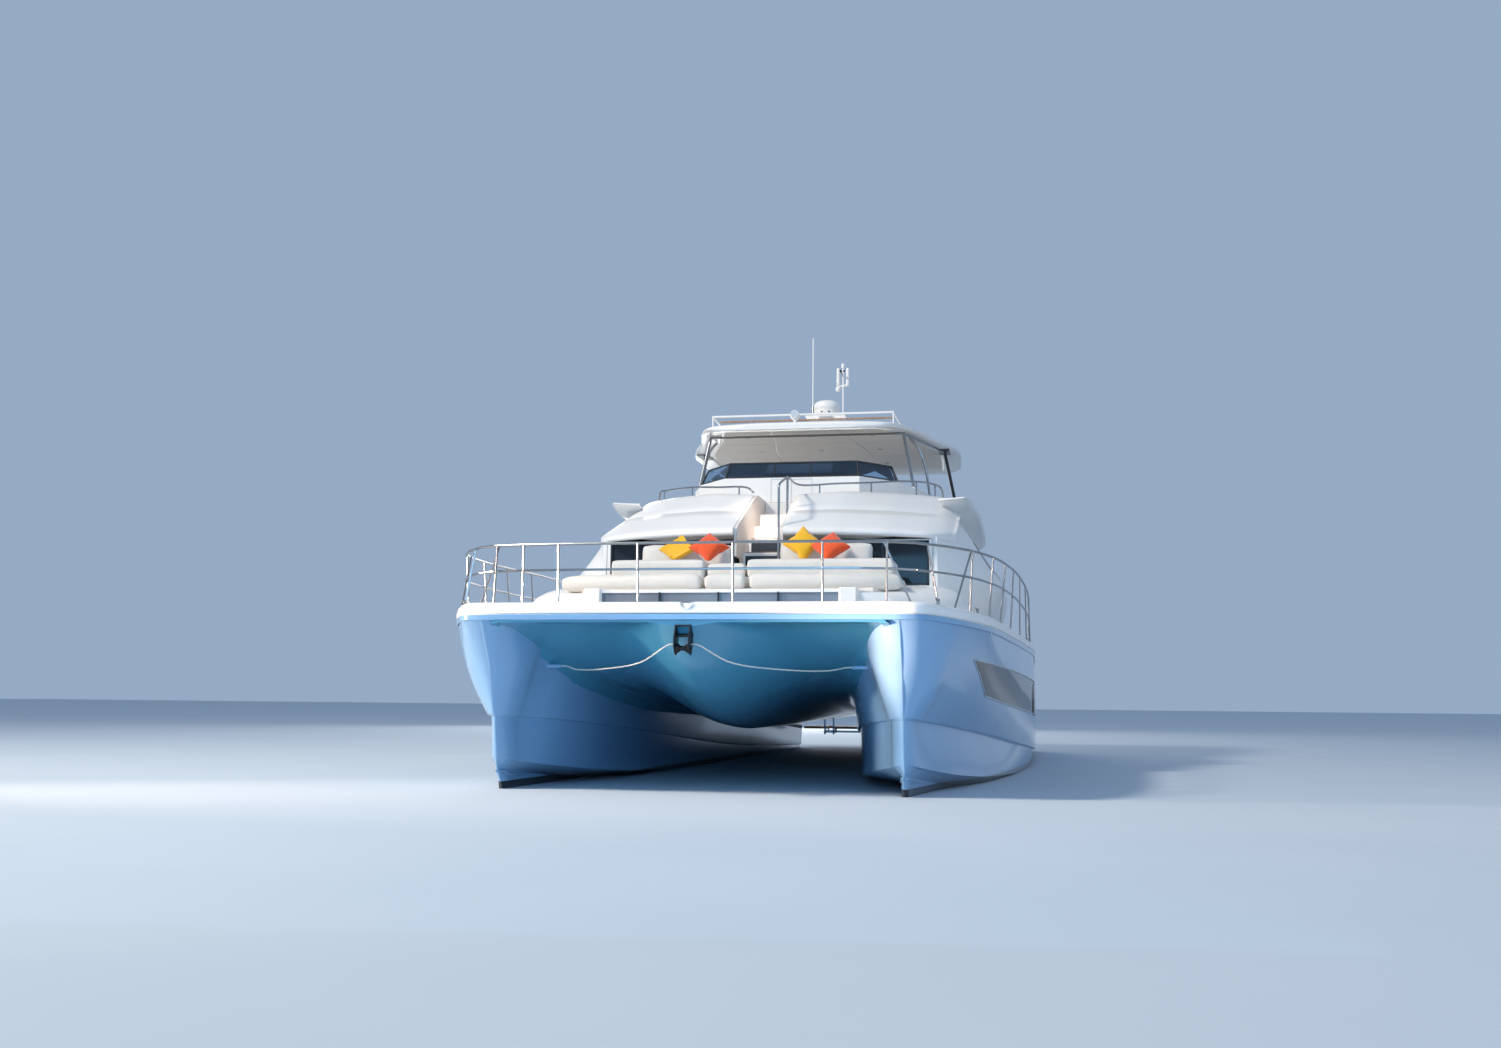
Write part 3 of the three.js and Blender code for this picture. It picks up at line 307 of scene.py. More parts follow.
# %% Node helpers
def new_group(name, inputs, outputs):
    """A group with named sockets: tuples and the name Color stand for colours, the rest for numbers."""
    tree = bpy.data.node_groups.new(name, "ShaderNodeTree")
    for label, value in inputs.items():
        kind = "NodeSocketColor" if isinstance(value, tuple) else "NodeSocketFloat"
        tree.interface.new_socket(label, in_out="INPUT", socket_type=kind).default_value = value
    for label in outputs:
        kind = "NodeSocketColor" if label == "Color" else "NodeSocketFloat"
        tree.interface.new_socket(label, in_out="OUTPUT", socket_type=kind)
    return tree, tree.nodes.new("NodeGroupInput").outputs, tree.nodes.new("NodeGroupOutput").inputs


def node(tree, kind, links=(), **settings):
    made = tree.nodes.new(kind)
    for key, value in settings.items():
        setattr(made, key, value)
    for socket, value in dict(links).items():
        if isinstance(value, bpy.types.NodeSocket):
            tree.links.new(value, made.inputs[socket])
        else:
            made.inputs[socket].default_value = value
    return made


def maths(tree, operation, a, b=0.5, c=None, clamp=False):
    links = {0: a, 1: b}
    if c is not None:
        links[2] = c
    return node(tree, "ShaderNodeMath", links, operation=operation, use_clamp=clamp).outputs[0]


def mix_colour(tree, share, a, b):
    made = node(tree, "ShaderNodeMix", {0: share, 6: a, 7: b}, data_type="RGBA")
    return made.outputs[2]


def place_in(tree):
    """The object's own coordinates, one output an axis."""
    place = node(tree, "ShaderNodeTexCoord").outputs["Object"]
    return node(tree, "ShaderNodeSeparateXYZ", {0: place}).outputs


def cloudy(tree, scale, detail, stretch=(1, 1, 1)):
    """Soft noise that is laid by the object's own measures."""
    place = node(tree, "ShaderNodeTexCoord").outputs["Object"]
    place = node(tree, "ShaderNodeMapping", {"Vector": place, "Scale": stretch}).outputs[0]
    return node(tree, "ShaderNodeTexNoise", {"Vector": place, "Scale": scale, "Detail": detail}).outputs[0]


def feed(tree, sockets, **values):
    """Wires each value to the socket of its name."""
    for label, value in values.items():
        tree.links.new(value, sockets[label.replace("_", " ")])


print("node helpers ready")

# %% [markdown]
# Clouds and streaks: a soft noise for the broad change of tone, and a second one stretched downward for
# the runs that salt water leaves. The group mixes the clean colour with the worn one.

# %% Weathering group
def make_weathering():
    inputs = {"Clean": (1, 1, 1, 1), "Worn": (0.8, 0.8, 0.7, 1), "Clouds": 0.3, "Streaks": 0.3, "Scale": 1.0}
    tree, given, result = new_group("Weathering", inputs, ["Color", "Wear", "Height"])
    clouds = maths(tree, "SUBTRACT", cloudy(tree, given["Scale"], 4.0), 0.45, clamp=True)
    runs = maths(tree, "SUBTRACT", cloudy(tree, given["Scale"], 3.0, (9, 9, 0.5)), 0.52, clamp=True)
    wear = maths(tree, "ADD", maths(tree, "MULTIPLY", clouds, given["Clouds"]),
                 maths(tree, "MULTIPLY", runs, given["Streaks"]), clamp=True)
    feed(tree, result, Color=mix_colour(tree, wear, given["Clean"], given["Worn"]), Wear=wear,
         Height=cloudy(tree, 60.0, 2.0))
    return tree


WEATHERING = make_weathering()
print("made", WEATHERING.name)

# %% [markdown]
# Weave: two sets of threads cross, and where one set is up the other is down. It is laid by the object's
# own measures, so it has the same size on every cushion. The moulded non-slip of the deck uses the same
# crossing ribs at a larger size.

# %% Weave group
def make_weave():
    tree, given, result = new_group("Weave", {"Threads per metre": 900.0, "Fuzz": 0.4}, ["Height", "Tone"])
    place = place_in(tree)
    waves = []
    for axis, lean in ((0, 0.7), (1, 1.4)):
        sloped = maths(tree, "ADD", place[axis], maths(tree, "MULTIPLY", place[2], lean))
        turns = maths(tree, "MULTIPLY", sloped, maths(tree, "MULTIPLY", given[0], math.pi))
        waves.append(maths(tree, "SINE", turns, 0))
    crossing = maths(tree, "MULTIPLY", waves[0], waves[1])
    fuzz = maths(tree, "MULTIPLY", cloudy(tree, given[0], 2.0), given["Fuzz"])
    height = maths(tree, "ADD", maths(tree, "MULTIPLY", crossing, 0.5), fuzz)
    feed(tree, result, Height=height, Tone=cloudy(tree, 5.0, 5.0))
    return tree


WEAVE = make_weave()
print("made", WEAVE.name)

# %% [markdown]
# Planks: strips of teak run fore and aft, parted by narrow seams of black rubber. A stretched noise gives
# the grain, and every strip takes its own tone.

# %% Planks group
def make_planks():
    tree, given, result = new_group("Planks", {"Plank": 0.06, "Seam": 0.08}, ["Seams", "Grain", "Height"])
    strip = maths(tree, "DIVIDE", place_in(tree)[0], given["Plank"])
    seams = maths(tree, "LESS_THAN", maths(tree, "FRACT", strip, 0), given["Seam"])
    number = node(tree, "ShaderNodeTexWhiteNoise", {"W": maths(tree, "FLOOR", strip, 0)},
                  noise_dimensions="1D")
    grain = cloudy(tree, 1.0, 5.0, (120, 6, 120))
    own_tone = maths(tree, "MULTIPLY", number.outputs[0], 0.35)
    feed(tree, result, Seams=seams, Grain=maths(tree, "ADD", own_tone, maths(tree, "MULTIPLY", grain, 0.65)),
         Height=maths(tree, "SUBTRACT", maths(tree, "MULTIPLY", grain, 0.3), seams))
    return tree


PLANKS = make_planks()
print("made", PLANKS.name)

# %% [markdown]
# ## Finishes
#
# Each finish is one Principled shader. Numbers that are the same all over the surface sit on the shader
# itself. The helper returns the material's tree so that the effects can be wired to its sockets.

# %% Plain start of a finish
def new_finish(name, roughness, metallic=0.0, **more):
    material = bpy.data.materials.new(name)
    material.use_nodes = True
    tree = material.node_tree
    shader = tree.nodes["Principled BSDF"]
    shader.inputs["Roughness"].default_value = roughness
    shader.inputs["Metallic"].default_value = metallic
    for label, value in more.items():
        shader.inputs[label.replace("_", " ")].default_value = value
    return material, tree, shader


def effect(tree, group, **values):
    made = node(tree, "ShaderNodeGroup", node_tree=group)
    for label, value in values.items():
        made.inputs[label.replace("_", " ")].default_value = value
    return made.outputs


def bumped(tree, shader, height, strength, distance):
    bump = node(tree, "ShaderNodeBump", {"Strength": strength, "Distance": distance, "Height": height})
    tree.links.new(bump.outputs[0], shader.inputs["Normal"])


def range_of(tree, value, low, high):
    return node(tree, "ShaderNodeMapRange", {"Value": value, "To Min": low, "To Max": high}).outputs[0]


def moulded(name, clean, worn, roughness, clouds, streaks, scale, **more):
    """A painted or moulded surface with faint clouds and streaks."""
    material, tree, shader = new_finish(name, roughness, **more)
    skin = effect(tree, WEATHERING, Clean=clean, Worn=worn, Clouds=clouds, Streaks=streaks, Scale=scale)
    feed(tree, shader.inputs, Base_Color=skin["Color"],
         Roughness=range_of(tree, skin["Wear"], roughness, roughness + 0.25))
    bumped(tree, shader, skin["Height"], 0.15, 0.0004)
    return material


WHITE = moulded("gelcoat white", (0.88, 0.85, 0.815, 1), (0.7, 0.66, 0.6, 1), 0.3, 0.5, 0.6, 0.8,
                Coat_Weight=0.12)
LINER = moulded("warm liner", (0.82, 0.75, 0.68, 1), (0.62, 0.56, 0.5, 1), 0.55, 0.5, 0.2, 1.5)
GREY_PLASTIC = moulded("grey plastic", (0.5, 0.52, 0.54, 1), (0.36, 0.37, 0.38, 1), 0.4, 0.5, 0.3, 3.0)
BLACK_PLASTIC = moulded("black plastic", (0.016, 0.017, 0.018, 1), (0.06, 0.06, 0.06, 1), 0.35, 0.6, 0.4, 3.0)
IRON = moulded("engine grey", (0.16, 0.18, 0.2, 1), (0.08, 0.07, 0.06, 1), 0.5, 0.8, 0.5, 3.0)
print("moulded finishes made")

# %% [markdown]
# The hull's white gelcoat is painted blue, a painted shade and painted reflection of the water, as open shade
# over clear water tints it. A black boot stripe is painted a hand above the water, and below it lies dark
# antifouling paint. Both follow the height above the waterline, as the real masking does. The tunnel is
# painted a deeper blue ahead, a painted shade under the bridge, which fades to the hull's blue aft.

# %% Hull paint
BOOT_TOP = 0.085
BOOT_LOW = 0.012
# The painted shade under the bridge holds ahead of start and fades to the hull's blue at rate per metre aft.
TUNNEL_SHADE_FADE = {"start": 1.0, "rate": 0.25}


def make_hull_paint(name, deep=None):
    material, tree, shader = new_finish(name, 0.16, Coat_Weight=0.6)
    shader.inputs["Coat Roughness"].default_value = 0.06
    # The clean blue is a painted shade and painted reflection of the water on white gelcoat; the clouds and
    # streaks are real weathering.
    skin = effect(tree, WEATHERING, Clean=(0.2, 0.38, 0.6, 1), Worn=(0.15, 0.29, 0.45, 1),
                  Clouds=0.5, Streaks=0.7, Scale=0.6)
    place = place_in(tree)
    under_boot = maths(tree, "LESS_THAN", place[2], BOOT_TOP)
    under_water = maths(tree, "LESS_THAN", place[2], BOOT_LOW)
    colour = skin["Color"]
    # deep is a painted shade: a darker blue under the bridge ahead, fading aft.
    if deep:
        aft = maths(tree, "MULTIPLY", maths(tree, "SUBTRACT", place[1], TUNNEL_SHADE_FADE["start"]),
                    TUNNEL_SHADE_FADE["rate"])
        colour = mix_colour(tree, aft, deep, colour)
    with_boot = mix_colour(tree, under_boot, colour, (0.012, 0.013, 0.016, 1))
    paint = mix_colour(tree, cloudy(tree, 3.0, 5.0, (1, 1, 2)), (0.012, 0.02, 0.04, 1),
                       (0.03, 0.04, 0.055, 1))
    feed(tree, shader.inputs, Base_Color=mix_colour(tree, under_water, with_boot, paint),
         Roughness=range_of(tree, under_water, 0.16, 0.75))
    bumped(tree, shader, skin["Height"], 0.1, 0.0003)
    return material


HULL_PAINT = make_hull_paint("hull gelcoat")
# The tunnel's deeper blue is a painted shade under the bridge.
TUNNEL_SHADE_PAINT = make_hull_paint("tunnel gelcoat", (0.06, 0.26, 0.4, 1))
print("boot stripe from", BOOT_LOW, "to", BOOT_TOP, "m above the water")

# %% [markdown]
# The deck is moulded with a fine non-slip pattern in a slightly warmer grey than the glossy parts around
# it, so that it doesn't dazzle. It uses the weave group at a coarse size.

# %% Deck, cloth and teak
def make_nonslip():
    material, tree, shader = new_finish("non-slip deck", 0.6)
    skin = effect(tree, WEATHERING, Clean=(0.68, 0.68, 0.65, 1), Worn=(0.46, 0.45, 0.41, 1), Clouds=0.9,
                  Streaks=0.2, Scale=1.2)
    pattern = effect(tree, WEAVE, Threads_per_metre=160.0, Fuzz=0.3)
    feed(tree, shader.inputs, Base_Color=skin["Color"])
    bumped(tree, shader, pattern["Height"], 0.6, 0.0015)
    return material


def make_cloth(name, light, dark, threads, roughness=0.85, sheen=0.3, strength=0.5, depth=0.0012):
    material, tree, shader = new_finish(name, roughness, Sheen_Weight=sheen)
    cloth = effect(tree, WEAVE, Threads_per_metre=threads, Fuzz=0.5)
    feed(tree, shader.inputs, Base_Color=mix_colour(tree, cloth["Tone"], light, dark))
    bumped(tree, shader, cloth["Height"], strength, depth)
    return material


def make_teak():
    material, tree, shader = new_finish("teak planks", 0.6)
    planks = effect(tree, PLANKS, Plank=0.055, Seam=0.09)
    wood = mix_colour(tree, planks["Grain"], (0.3, 0.15, 0.07, 1), (0.58, 0.36, 0.2, 1))
    feed(tree, shader.inputs, Base_Color=mix_colour(tree, planks["Seams"], wood, (0.015, 0.015, 0.015, 1)))
    bumped(tree, shader, planks["Height"], 0.4, 0.002)
    return material


NONSLIP = make_nonslip()
TEAK = make_teak()
CANVAS = make_cloth("white upholstery", (0.73, 0.69, 0.64, 1), (0.63, 0.59, 0.53, 1), 500.0, 0.6, 0.15, 0.25,
                    0.0008)
YELLOW = make_cloth("yellow cloth", (0.9, 0.5, 0.008, 1), (0.75, 0.36, 0.005, 1), 420.0)
ORANGE = make_cloth("orange cloth", (0.88, 0.1, 0.012, 1), (0.66, 0.06, 0.008, 1), 420.0)
BEIGE = make_cloth("beige upholstery", (0.56, 0.5, 0.41, 1), (0.42, 0.36, 0.28, 1), 450.0, 0.7, 0.2)
ROPE = make_cloth("white rope", (0.72, 0.71, 0.66, 1), (0.5, 0.48, 0.42, 1), 900.0)
print("cloth finishes made")

# %% [markdown]
# Glass on the cabins is dark and mirror-like, so an opaque glossy black with a hint of blue stands in for
# it. The low windscreen is clear enough to see the console behind it, so that one transmits light.

# %% Glass and metal
def make_dark_glass(name, tint):
    material, tree, shader = new_finish(name, 0.04, Specular_IOR_Level=0.3)
    haze = cloudy(tree, 1.4, 3.0)
    light = tuple(2.2 * v for v in tint[:3]) + (1,)
    feed(tree, shader.inputs, Base_Color=mix_colour(tree, haze, tint, light),
         Roughness=range_of(tree, haze, 0.02, 0.09))
    return material


def make_screen():
    material, tree, shader = new_finish("tinted windscreen", 0.02, Transmission_Weight=0.85, IOR=1.45)
    tint = mix_colour(tree, cloudy(tree, 2.0, 3.0), (0.03, 0.06, 0.11, 1), (0.05, 0.09, 0.15, 1))
    feed(tree, shader.inputs, Base_Color=tint)
    return material


def make_metal(name, light, dark, rough_low, rough_high, scale=(40, 40, 400)):
    material, tree, shader = new_finish(name, rough_low, metallic=1.0)
    scratch = cloudy(tree, 1.0, 3.0, scale)
    feed(tree, shader.inputs, Base_Color=mix_colour(tree, scratch, light, dark),
         Roughness=range_of(tree, scratch, rough_low, rough_high))
    bumped(tree, shader, scratch, 0.05, 0.0005)
    return material


DARK_GLASS = make_dark_glass("dark glass", (0.012, 0.016, 0.022, 1))
SCREEN_GLASS = make_screen()
STEEL = make_metal("polished steel", (0.42, 0.43, 0.44, 1), (0.26, 0.27, 0.28, 1), 0.2, 0.38)
BRONZE = make_metal("propeller bronze", (0.62, 0.42, 0.18, 1), (0.36, 0.24, 0.1, 1), 0.25, 0.5, (20, 20, 20))
DARK_METAL = make_metal("dark posts", (0.05, 0.052, 0.055, 1), (0.03, 0.03, 0.032, 1), 0.3, 0.5)
# The grey glass is lighter and bluer than the dark glass: partly its own tint, partly a painted reflection of
# the sky.
GREY_GLASS = make_dark_glass("grey glass", (0.11, 0.13, 0.16, 1))
HULL_GLASS = make_dark_glass("hull glass", (0.045, 0.03, 0.02, 1))
LENS = make_dark_glass("lamp lens", (0.3, 0.33, 0.36, 1))
print("glass and metal made")

# %% [markdown]
# ## Floor and light
#
# The floor is a plain pale plane at the waterline. A soft lamp high on the starboard bow stands in for the
# sun, and a pale blue surround fills the shade, as sky and water do in the open. Small narrow lamps add what
# low sun and bright water give: a glow under the bridge, on the port nose and in the stair well.

# %% Floor and light
def make_stage():
    material, tree, shader = new_finish("pale floor", 0.9)
    tone = mix_colour(tree, cloudy(tree, 0.4, 2.0), (0.5, 0.57, 0.64, 1), (0.56, 0.62, 0.68, 1))
    feed(tree, shader.inputs, Base_Color=tone)
    floor = new_object("floor", *block(-150, 150, -120, 180, -0.02, 0), material)


def make_lamp(name, place, target, size, power, colour, spread):
    data = bpy.data.lights.new(name, "AREA")
    data.size = size
    data.energy = power
    data.spread = math.radians(spread)
    data.color = colour
    lamp = bpy.data.objects.new(name, data)
    lamp.location = place
    lamp.rotation_euler = (Vector(target) - Vector(place)).to_track_quat("-Z", "Y").to_euler()
    lamp.visible_camera = False
    bpy.context.scene.collection.objects.link(lamp)


def make_surround():
    world = bpy.data.worlds.new("surround")
    bpy.context.scene.world = world
    world.use_nodes = True
    background = world.node_tree.nodes["Background"]
    background.inputs["Color"].default_value = (0.55, 0.73, 1.0, 1)
    background.inputs["Strength"].default_value = 0.55


LAMPS = [
    # name, place, target, size in metres, power in watts, colour, spread in degrees
    ("sun side", (-17, -19, 23), (0, -2, 2), 3.5, 8200, (1.0, 0.93, 0.82), 180),
    ("port fill", (20, -16, 9), (0, -3, 2), 12, 480, (0.78, 0.88, 1.0), 180),
    ("stern rim", (-7, 28, 7), (0, 2, 3), 12, 1900, (1.0, 0.97, 0.92), 180),
    ("water bounce", (1, -17, 0.5), (-0.4, -4, 1.2), 8, 130, (0.22, 0.6, 1.0), 70),
    ("low strip", (-15, -10.6, 2.4), (2.2, -8.2, 1.5), 0.9, 120, (1.0, 0.72, 0.52), 36),
    ("nose light", (-5.5, -13, 1.3), (2.42, -8.2, 1.56), 0.5, 17, (1.0, 0.62, 0.42), 11),
    ("stair light", (0.2, -5.0, 4.8), (-0.12, -2.7, 3.5), 0.4, 4.5, (1.0, 0.9, 0.84), 26),
]
make_stage()
make_surround()
bpy.context.scene.view_settings.view_transform = "Standard"
for row in LAMPS:
    make_lamp(*row)

# %% [markdown]
# ## Mooring bridle
#
# A light line runs from each cheek of the bow roller to the eye inside the nose of a hull, and hangs in a
# shallow curve below the bridge. Each is a twisted rope of three strands, so its section is a clover whose
# lobes turn as it goes. Both follow the route of the lines in the solid model.

# %% Bridle
BRIDLE_RADIUS = 0.008
BRIDLE_LAY = 0.09
BRIDLE_ROUTE = [
    (0.0903, -8.41, 1.6), (0.15, -8.41, 1.6), (0.48, -8.28, 1.42), (1.0, -7.94, 1.35),
    (1.45, -7.54, 1.35), (1.63, -7.35, 1.39), (1.6897, -7.35, 1.39),
]


def twisted_rope(route, radius, lay, steps, strands=3, sides=15):
    """A rope's skin: a section with one lobe a strand, turned once in each length of lay."""
    centre = curve_through(route, steps)
    run = 0.0
    rings = []
    for i, (p, across, other) in enumerate(frames(centre)):
        run += (p - centre[max(i - 1, 0)]).length
        ring = []
        for k, (c, s) in enumerate(circle(sides)):
            lobe = math.cos(2 * math.pi * (strands * k / sides - run / lay))
            ring.append(p + (across * c + other * s) * radius * (0.86 + 0.14 * lobe))
        rings.append(ring)
    return loft(rings), centre


def length_of(points):
    return sum((b - a).length for a, b in zip(points, points[1:]))


for side, sign in SIDES:
    route = [(sign * x, y, z) for x, y, z in BRIDLE_ROUTE]
    rope, centre = twisted_rope(route, BRIDLE_RADIUS, BRIDLE_LAY, 300)
    line = piece(f"bridle_line_{side}", *rope, ROPE, stands_for=[f"bridle_{side}"])
    print("bridle line", side, "is", round(length_of(centre), 3), "m long")

# %% [markdown]
# ## Hulls
#
# Each hull is a loft of cross-sections from stem to transom. Two knuckles run along it: narrow steps that
# throw spray outward. Between them the skin is nearly flat, and above the upper one it flares to the
# gunwale. The table gives the port hull's sections, and the mirror image is the starboard hull.

# %% Hull sections
HULL_X = 2290
HULL_ROWS = 64
STATIONS = [
    # y, sheer z, gunwale x, upper knuckle z and x, lower knuckle z and x, waterline x, keel z, then the
    # inner waterline, lower and upper knuckle x, and the z and x where the hull meets the bridge
    [-7500, 1870, 2920, 800, 2420, 300, 2400, 2340, -450, 2240, 2150, 2120, 1600, 1850],
    [-7000, 1866, 3050, 770, 2560, 240, 2560, 2440, -540, 2215, 1930, 1880, 1400, 1690],
    [-6000, 1860, 3230, 700, 2790, 150, 2800, 2630, -660, 2140, 1690, 1640, 1180, 1540],
    [-4300, 1847, 3400, 590, 3090, 60, 3120, 3060, -740, 2020, 1520, 1480, 1020, 1420],
    [-2000, 1822, 3620, 430, 3430, 0, 3440, 3370, -760, 1850, 1430, 1400, 900, 1340],
    [500, 1785, 3800, 280, 3710, -50, 3640, 3560, -740, 1690, 1370, 1340, 800, 1270],
    [4000, 1690, 3840, 150, 3780, -70, 3740, 3690, -620, 1440, 1260, 1230, 740, 1150],
    [7700, 1600, 3800, 60, 3740, -80, 3700, 3640, -420, 1180, 1160, 1150, 720, 1080],
]
SHEER, CREASE_Z, CREASE_X = 1, 12, 13
LEDGE = 58
STEM = [
    # y, z, half width of the stem's edge, how blunt the nose is there
    [-7480, -250, 3, 0.05],
    [-7740, 250, 3, 0.16],
    [-7760, 340, 3, 0.3],
    [-7860, 820, 3, 0.46],
    [-7890, 850, 3, 0.5],
    [-8050, 1350, 3, 0.74],
    [-8375, 1889, 3, 0.88],
]
DECK_NOSE = [[-8400, 2250], [-8370, 2420], [-8290, 2540], [-8120, 2640], [-7500, 2920]]
NOSE_SHARES = [0, 0.0015, 0.006, 0.014, 0.026, 0.042, 0.062, 0.09, 0.13, 0.18, 0.25, 0.33, 0.43, 0.55, 0.69,
               0.84]


def hull_controls(row):
    """Outer and inner corner points of a section, both from the keel up."""
    y, sheer, gunwale, k1z, k1x, k2z, k2x, water, keel, in_water, in2, in1, crease_z, crease_x = row
    shoulder = (k1x + LEDGE + 0.6 * (gunwale - k1x - LEDGE), y, k1z + 0.5 * (sheer - k1z))
    outer = [(HULL_X + 20, y, keel), (water, y, k2z - 90), (k2x, y, k2z), (k1x, y, k1z)]
    outer += [(k1x + LEDGE, y, k1z + 16), shoulder, (gunwale - 20, y, sheer)]
    inner = [(HULL_X - 20, y, keel), (in_water, y, k2z - 90), (in2, y, k2z), (in1, y, k1z)]
    inner += [(in1 - 34, y, k1z + 14), (crease_x, y, crease_z), (crease_x, y, sheer)]
    return [Vector(p) for p in outer], [Vector(p) for p in inner]


def nose_controls(share):
    outer, inner = hull_controls(STATIONS[0])
    sides = []
    for side, sign in ((outer, 1), (inner, -1)):
        moved = []
        for station, (y, z, half, blunt) in zip(side, STEM):
            tip = Vector((HULL_X + sign * half, y, z))
            swell = share + 0.5 * share * (1 - share)
            reach = (1 - blunt) * swell + blunt * math.sqrt(share * (2 - share))
            p = tip.lerp(station, share)
            p.x = tip.x + (station.x - tip.x) * reach
            if sign > 0:
                p.x = min(p.x, max(tip.x, along_table(DECK_NOSE, p.y, 1) - 15), station.x)
            moved.append(p)
        sides.append(moved)
    return sides


def between(a, b, count, bulge=0.0):
    """Points from a up to, but not with, b; bulge pushes the middle out sideways."""
    made = []
    for k in range(count):
        t = k / count
        p = a.lerp(b, t)
        p.x += bulge * 4 * t * (1 - t)
        made.append(p)
    return made


def through(a, middle, b, count):
    """Points from a to b on the bend that passes through the middle point half way."""
    pull = middle * 2 - (a + b) / 2
    shares = [k / count for k in range(count + 1)]
    return [a * (1 - t) ** 2 + pull * 2 * t * (1 - t) + b * t * t for t in shares]


def hull_side(controls, bulge, rise):
    """One side of a section, from the keel to the upper knuckle."""
    keel, water, low, high, step = controls[:5]
    lip = Vector((low.x + 0.6 * (step.x - high.x), low.y, low.z + rise))
    return between(keel, water, 6, bulge) + between(water, low, 2) + [low] + between(lip, high, 5) + [high]


def hull_ring(outer, inner):
    ring = hull_side(outer, 0.06 * (outer[1].x - outer[0].x), 12) + through(*outer[4:], 9)
    back = hull_side(inner, -20, 10) + between(*inner[4:6], 9) + inner[5:]
    return [p * MM for p in ring + back[::-1]]


def hull_shape():
    rings = [hull_ring(*nose_controls(share)) for share in NOSE_SHARES]
    rings += [hull_ring(*hull_controls(row)) for row in smooth_rows(STATIONS, HULL_ROWS)]
    return loft(rings)


HULL = hull_shape()
print("a hull has", len(HULL[0]), "points")

# %% [markdown]
# Below the lower knuckle a short spray rail runs aft from the stem on both sides of each hull. It is a
# thin strip that lies on the skin, so its path is found where the hull's sections reach a given height.

# %% Spray rails
SPRAY = {"start": 0.2, "end": 0.1, "front": -7.8, "back": -6.6, "radius": 0.017}


def on_skin(ring, height, outer):
    half = len(ring) // 2
    side = ring[: half + 1] if outer else ring[half:][::-1]
    for a, b in zip(side, side[1:]):
        if a.z <= height <= b.z and b.z > a.z:
            return a.lerp(b, (height - a.z) / (b.z - a.z))
    return None


def spray_rail(outer):
    count = len(HULL[0]) // (len(NOSE_SHARES) + HULL_ROWS)
    path = []
    for start in range(0, len(HULL[0]), count):
        ring = HULL[0][start : start + count]
        t = (ring[count // 2].y - SPRAY["front"]) / (SPRAY["back"] - SPRAY["front"])
        if t > 1:
            break
        found = on_skin(ring, SPRAY["start"] + (SPRAY["end"] - SPRAY["start"]) * max(0, t) ** 0.7, outer)
        if found:
            path.append(found)
    return pipe(path, lambda t: SPRAY["radius"] * min(1, 6 * (1 - t) + 0.2), 8)


pair("spray_rails", merged(spray_rail(True), spray_rail(False)), HULL_PAINT)
print("spray rails end at y", SPRAY["back"])

# %% [markdown]
# Under each hull runs a low skeg that guards the propeller. The shaft comes out above it and is held by a
# strut. The stern ends in moulded steps down to the swim platform, with teak on the treads. These parts
# are joined to the hull in the mould, so they belong to the same piece.

# %% Skeg, strut, steps and eye
STEPS = [(7.6, 0.3), (8.25, 0.3), (8.25, 0.46), (7.99, 0.46), (7.99, 0.76), (7.89, 0.76), (7.89, 1.06)]
STEPS += [(7.79, 1.06), (7.79, 1.36), (7.6, 1.36)]
SKEG = [(-1.5, -0.7), (-0.9, -0.92), (-0.4, -1.03), (0.2, -1.11), (0.6, -1.12), (5.5, -1.12), (5.75, -1.04)]
SKEG += [(5.85, -0.93), (5.85, -0.48), (2.5, -0.48)]
BOW_EYE = (1.69, -7.35, 1.39)
AXIS_X = HULL_X * MM
SHAFT_Z = -0.86
STRUT = [(-0.014, 6.02), (0, 6.01), (0.014, 6.02), (0.014, 6.17), (0, 6.18), (-0.014, 6.17)]
TREADS = [
    # y of the front and back edge, height
    (8.0, 8.235, 0.46), (7.9, 7.985, 0.76), (7.8, 7.885, 1.06), (7.62, 7.785, 1.36),
]


def side_slab(outline, x0, x1):
    return loft([[(x, y, z) for y, z in outline] for x in (x0, x1)])


def hull_with_parts():
    strut = loft([[(AXIS_X + w, y, z) for w, y in STRUT] for z in (SHAFT_Z, -0.42)])
    barrel = turned([(0.05, 6.0), (0.062, 6.02), (0.062, 6.17), (0.05, 6.19)], (AXIS_X, 0, SHAFT_Z), 24, "Y")
    eye = turned([(0.016, 0), (0.022, 0.01), (0.022, 0.04), (0.022, 0.2)], BOW_EYE, 16, "X")
    return merged(HULL, side_slab(SKEG, 2.21, 2.37), side_slab(STEPS, 1.32, 3.62), strut, barrel, eye)


HULLS = pair("hull_skin", hull_with_parts(), HULL_PAINT, stands_for=["hull"], bevel=0.006)
pair("stern_treads", merged(*[block(1.36, 3.58, y0, y1, z, z + 0.008) for y0, y1, z in TREADS]), TEAK)
print("made", [o.name for o in HULLS])

# %% [markdown]
# ## Windows in the hulls
#
# A long dark pane lies flush in each hull's side, with a slim frame around it and an oval opening port at
# its after end. The pane is a grid that follows the flare of the hull a few millimetres outside it.

# %% Hull windows
WINDOW_TOP = [(-6720, 1500), (-5200, 1480), (-3600, 1455), (-1500, 1405), (480, 1335)]
WINDOW_LOW = [(-5480, 1095), (-3600, 990), (-1500, 900), (-300, 850), (400, 812)]
WINDOW_ROWS = 40


def topside_x(y, z):
    """Outer x of the port hull above its upper knuckle, in millimetres."""
    row = [y] + [along_table(STATIONS, y, c) for c in range(1, 14)]
    outer, _ = hull_controls(row)
    curve = through(outer[4], outer[5], outer[6], 24)
    for a, b in zip(curve, curve[1:]):
        if a.z <= z <= b.z:
            return a.x + (b.x - a.x) * (z - a.z) / (b.z - a.z)
    return curve[0].x if z < curve[0].z else curve[-1].x


def on_line(line, share):
    place = share * (len(line) - 1)
    i = min(int(place), len(line) - 2)
    t = place - i
    return tuple(a + (b - a) * t for a, b in zip(line[i], line[i + 1]))


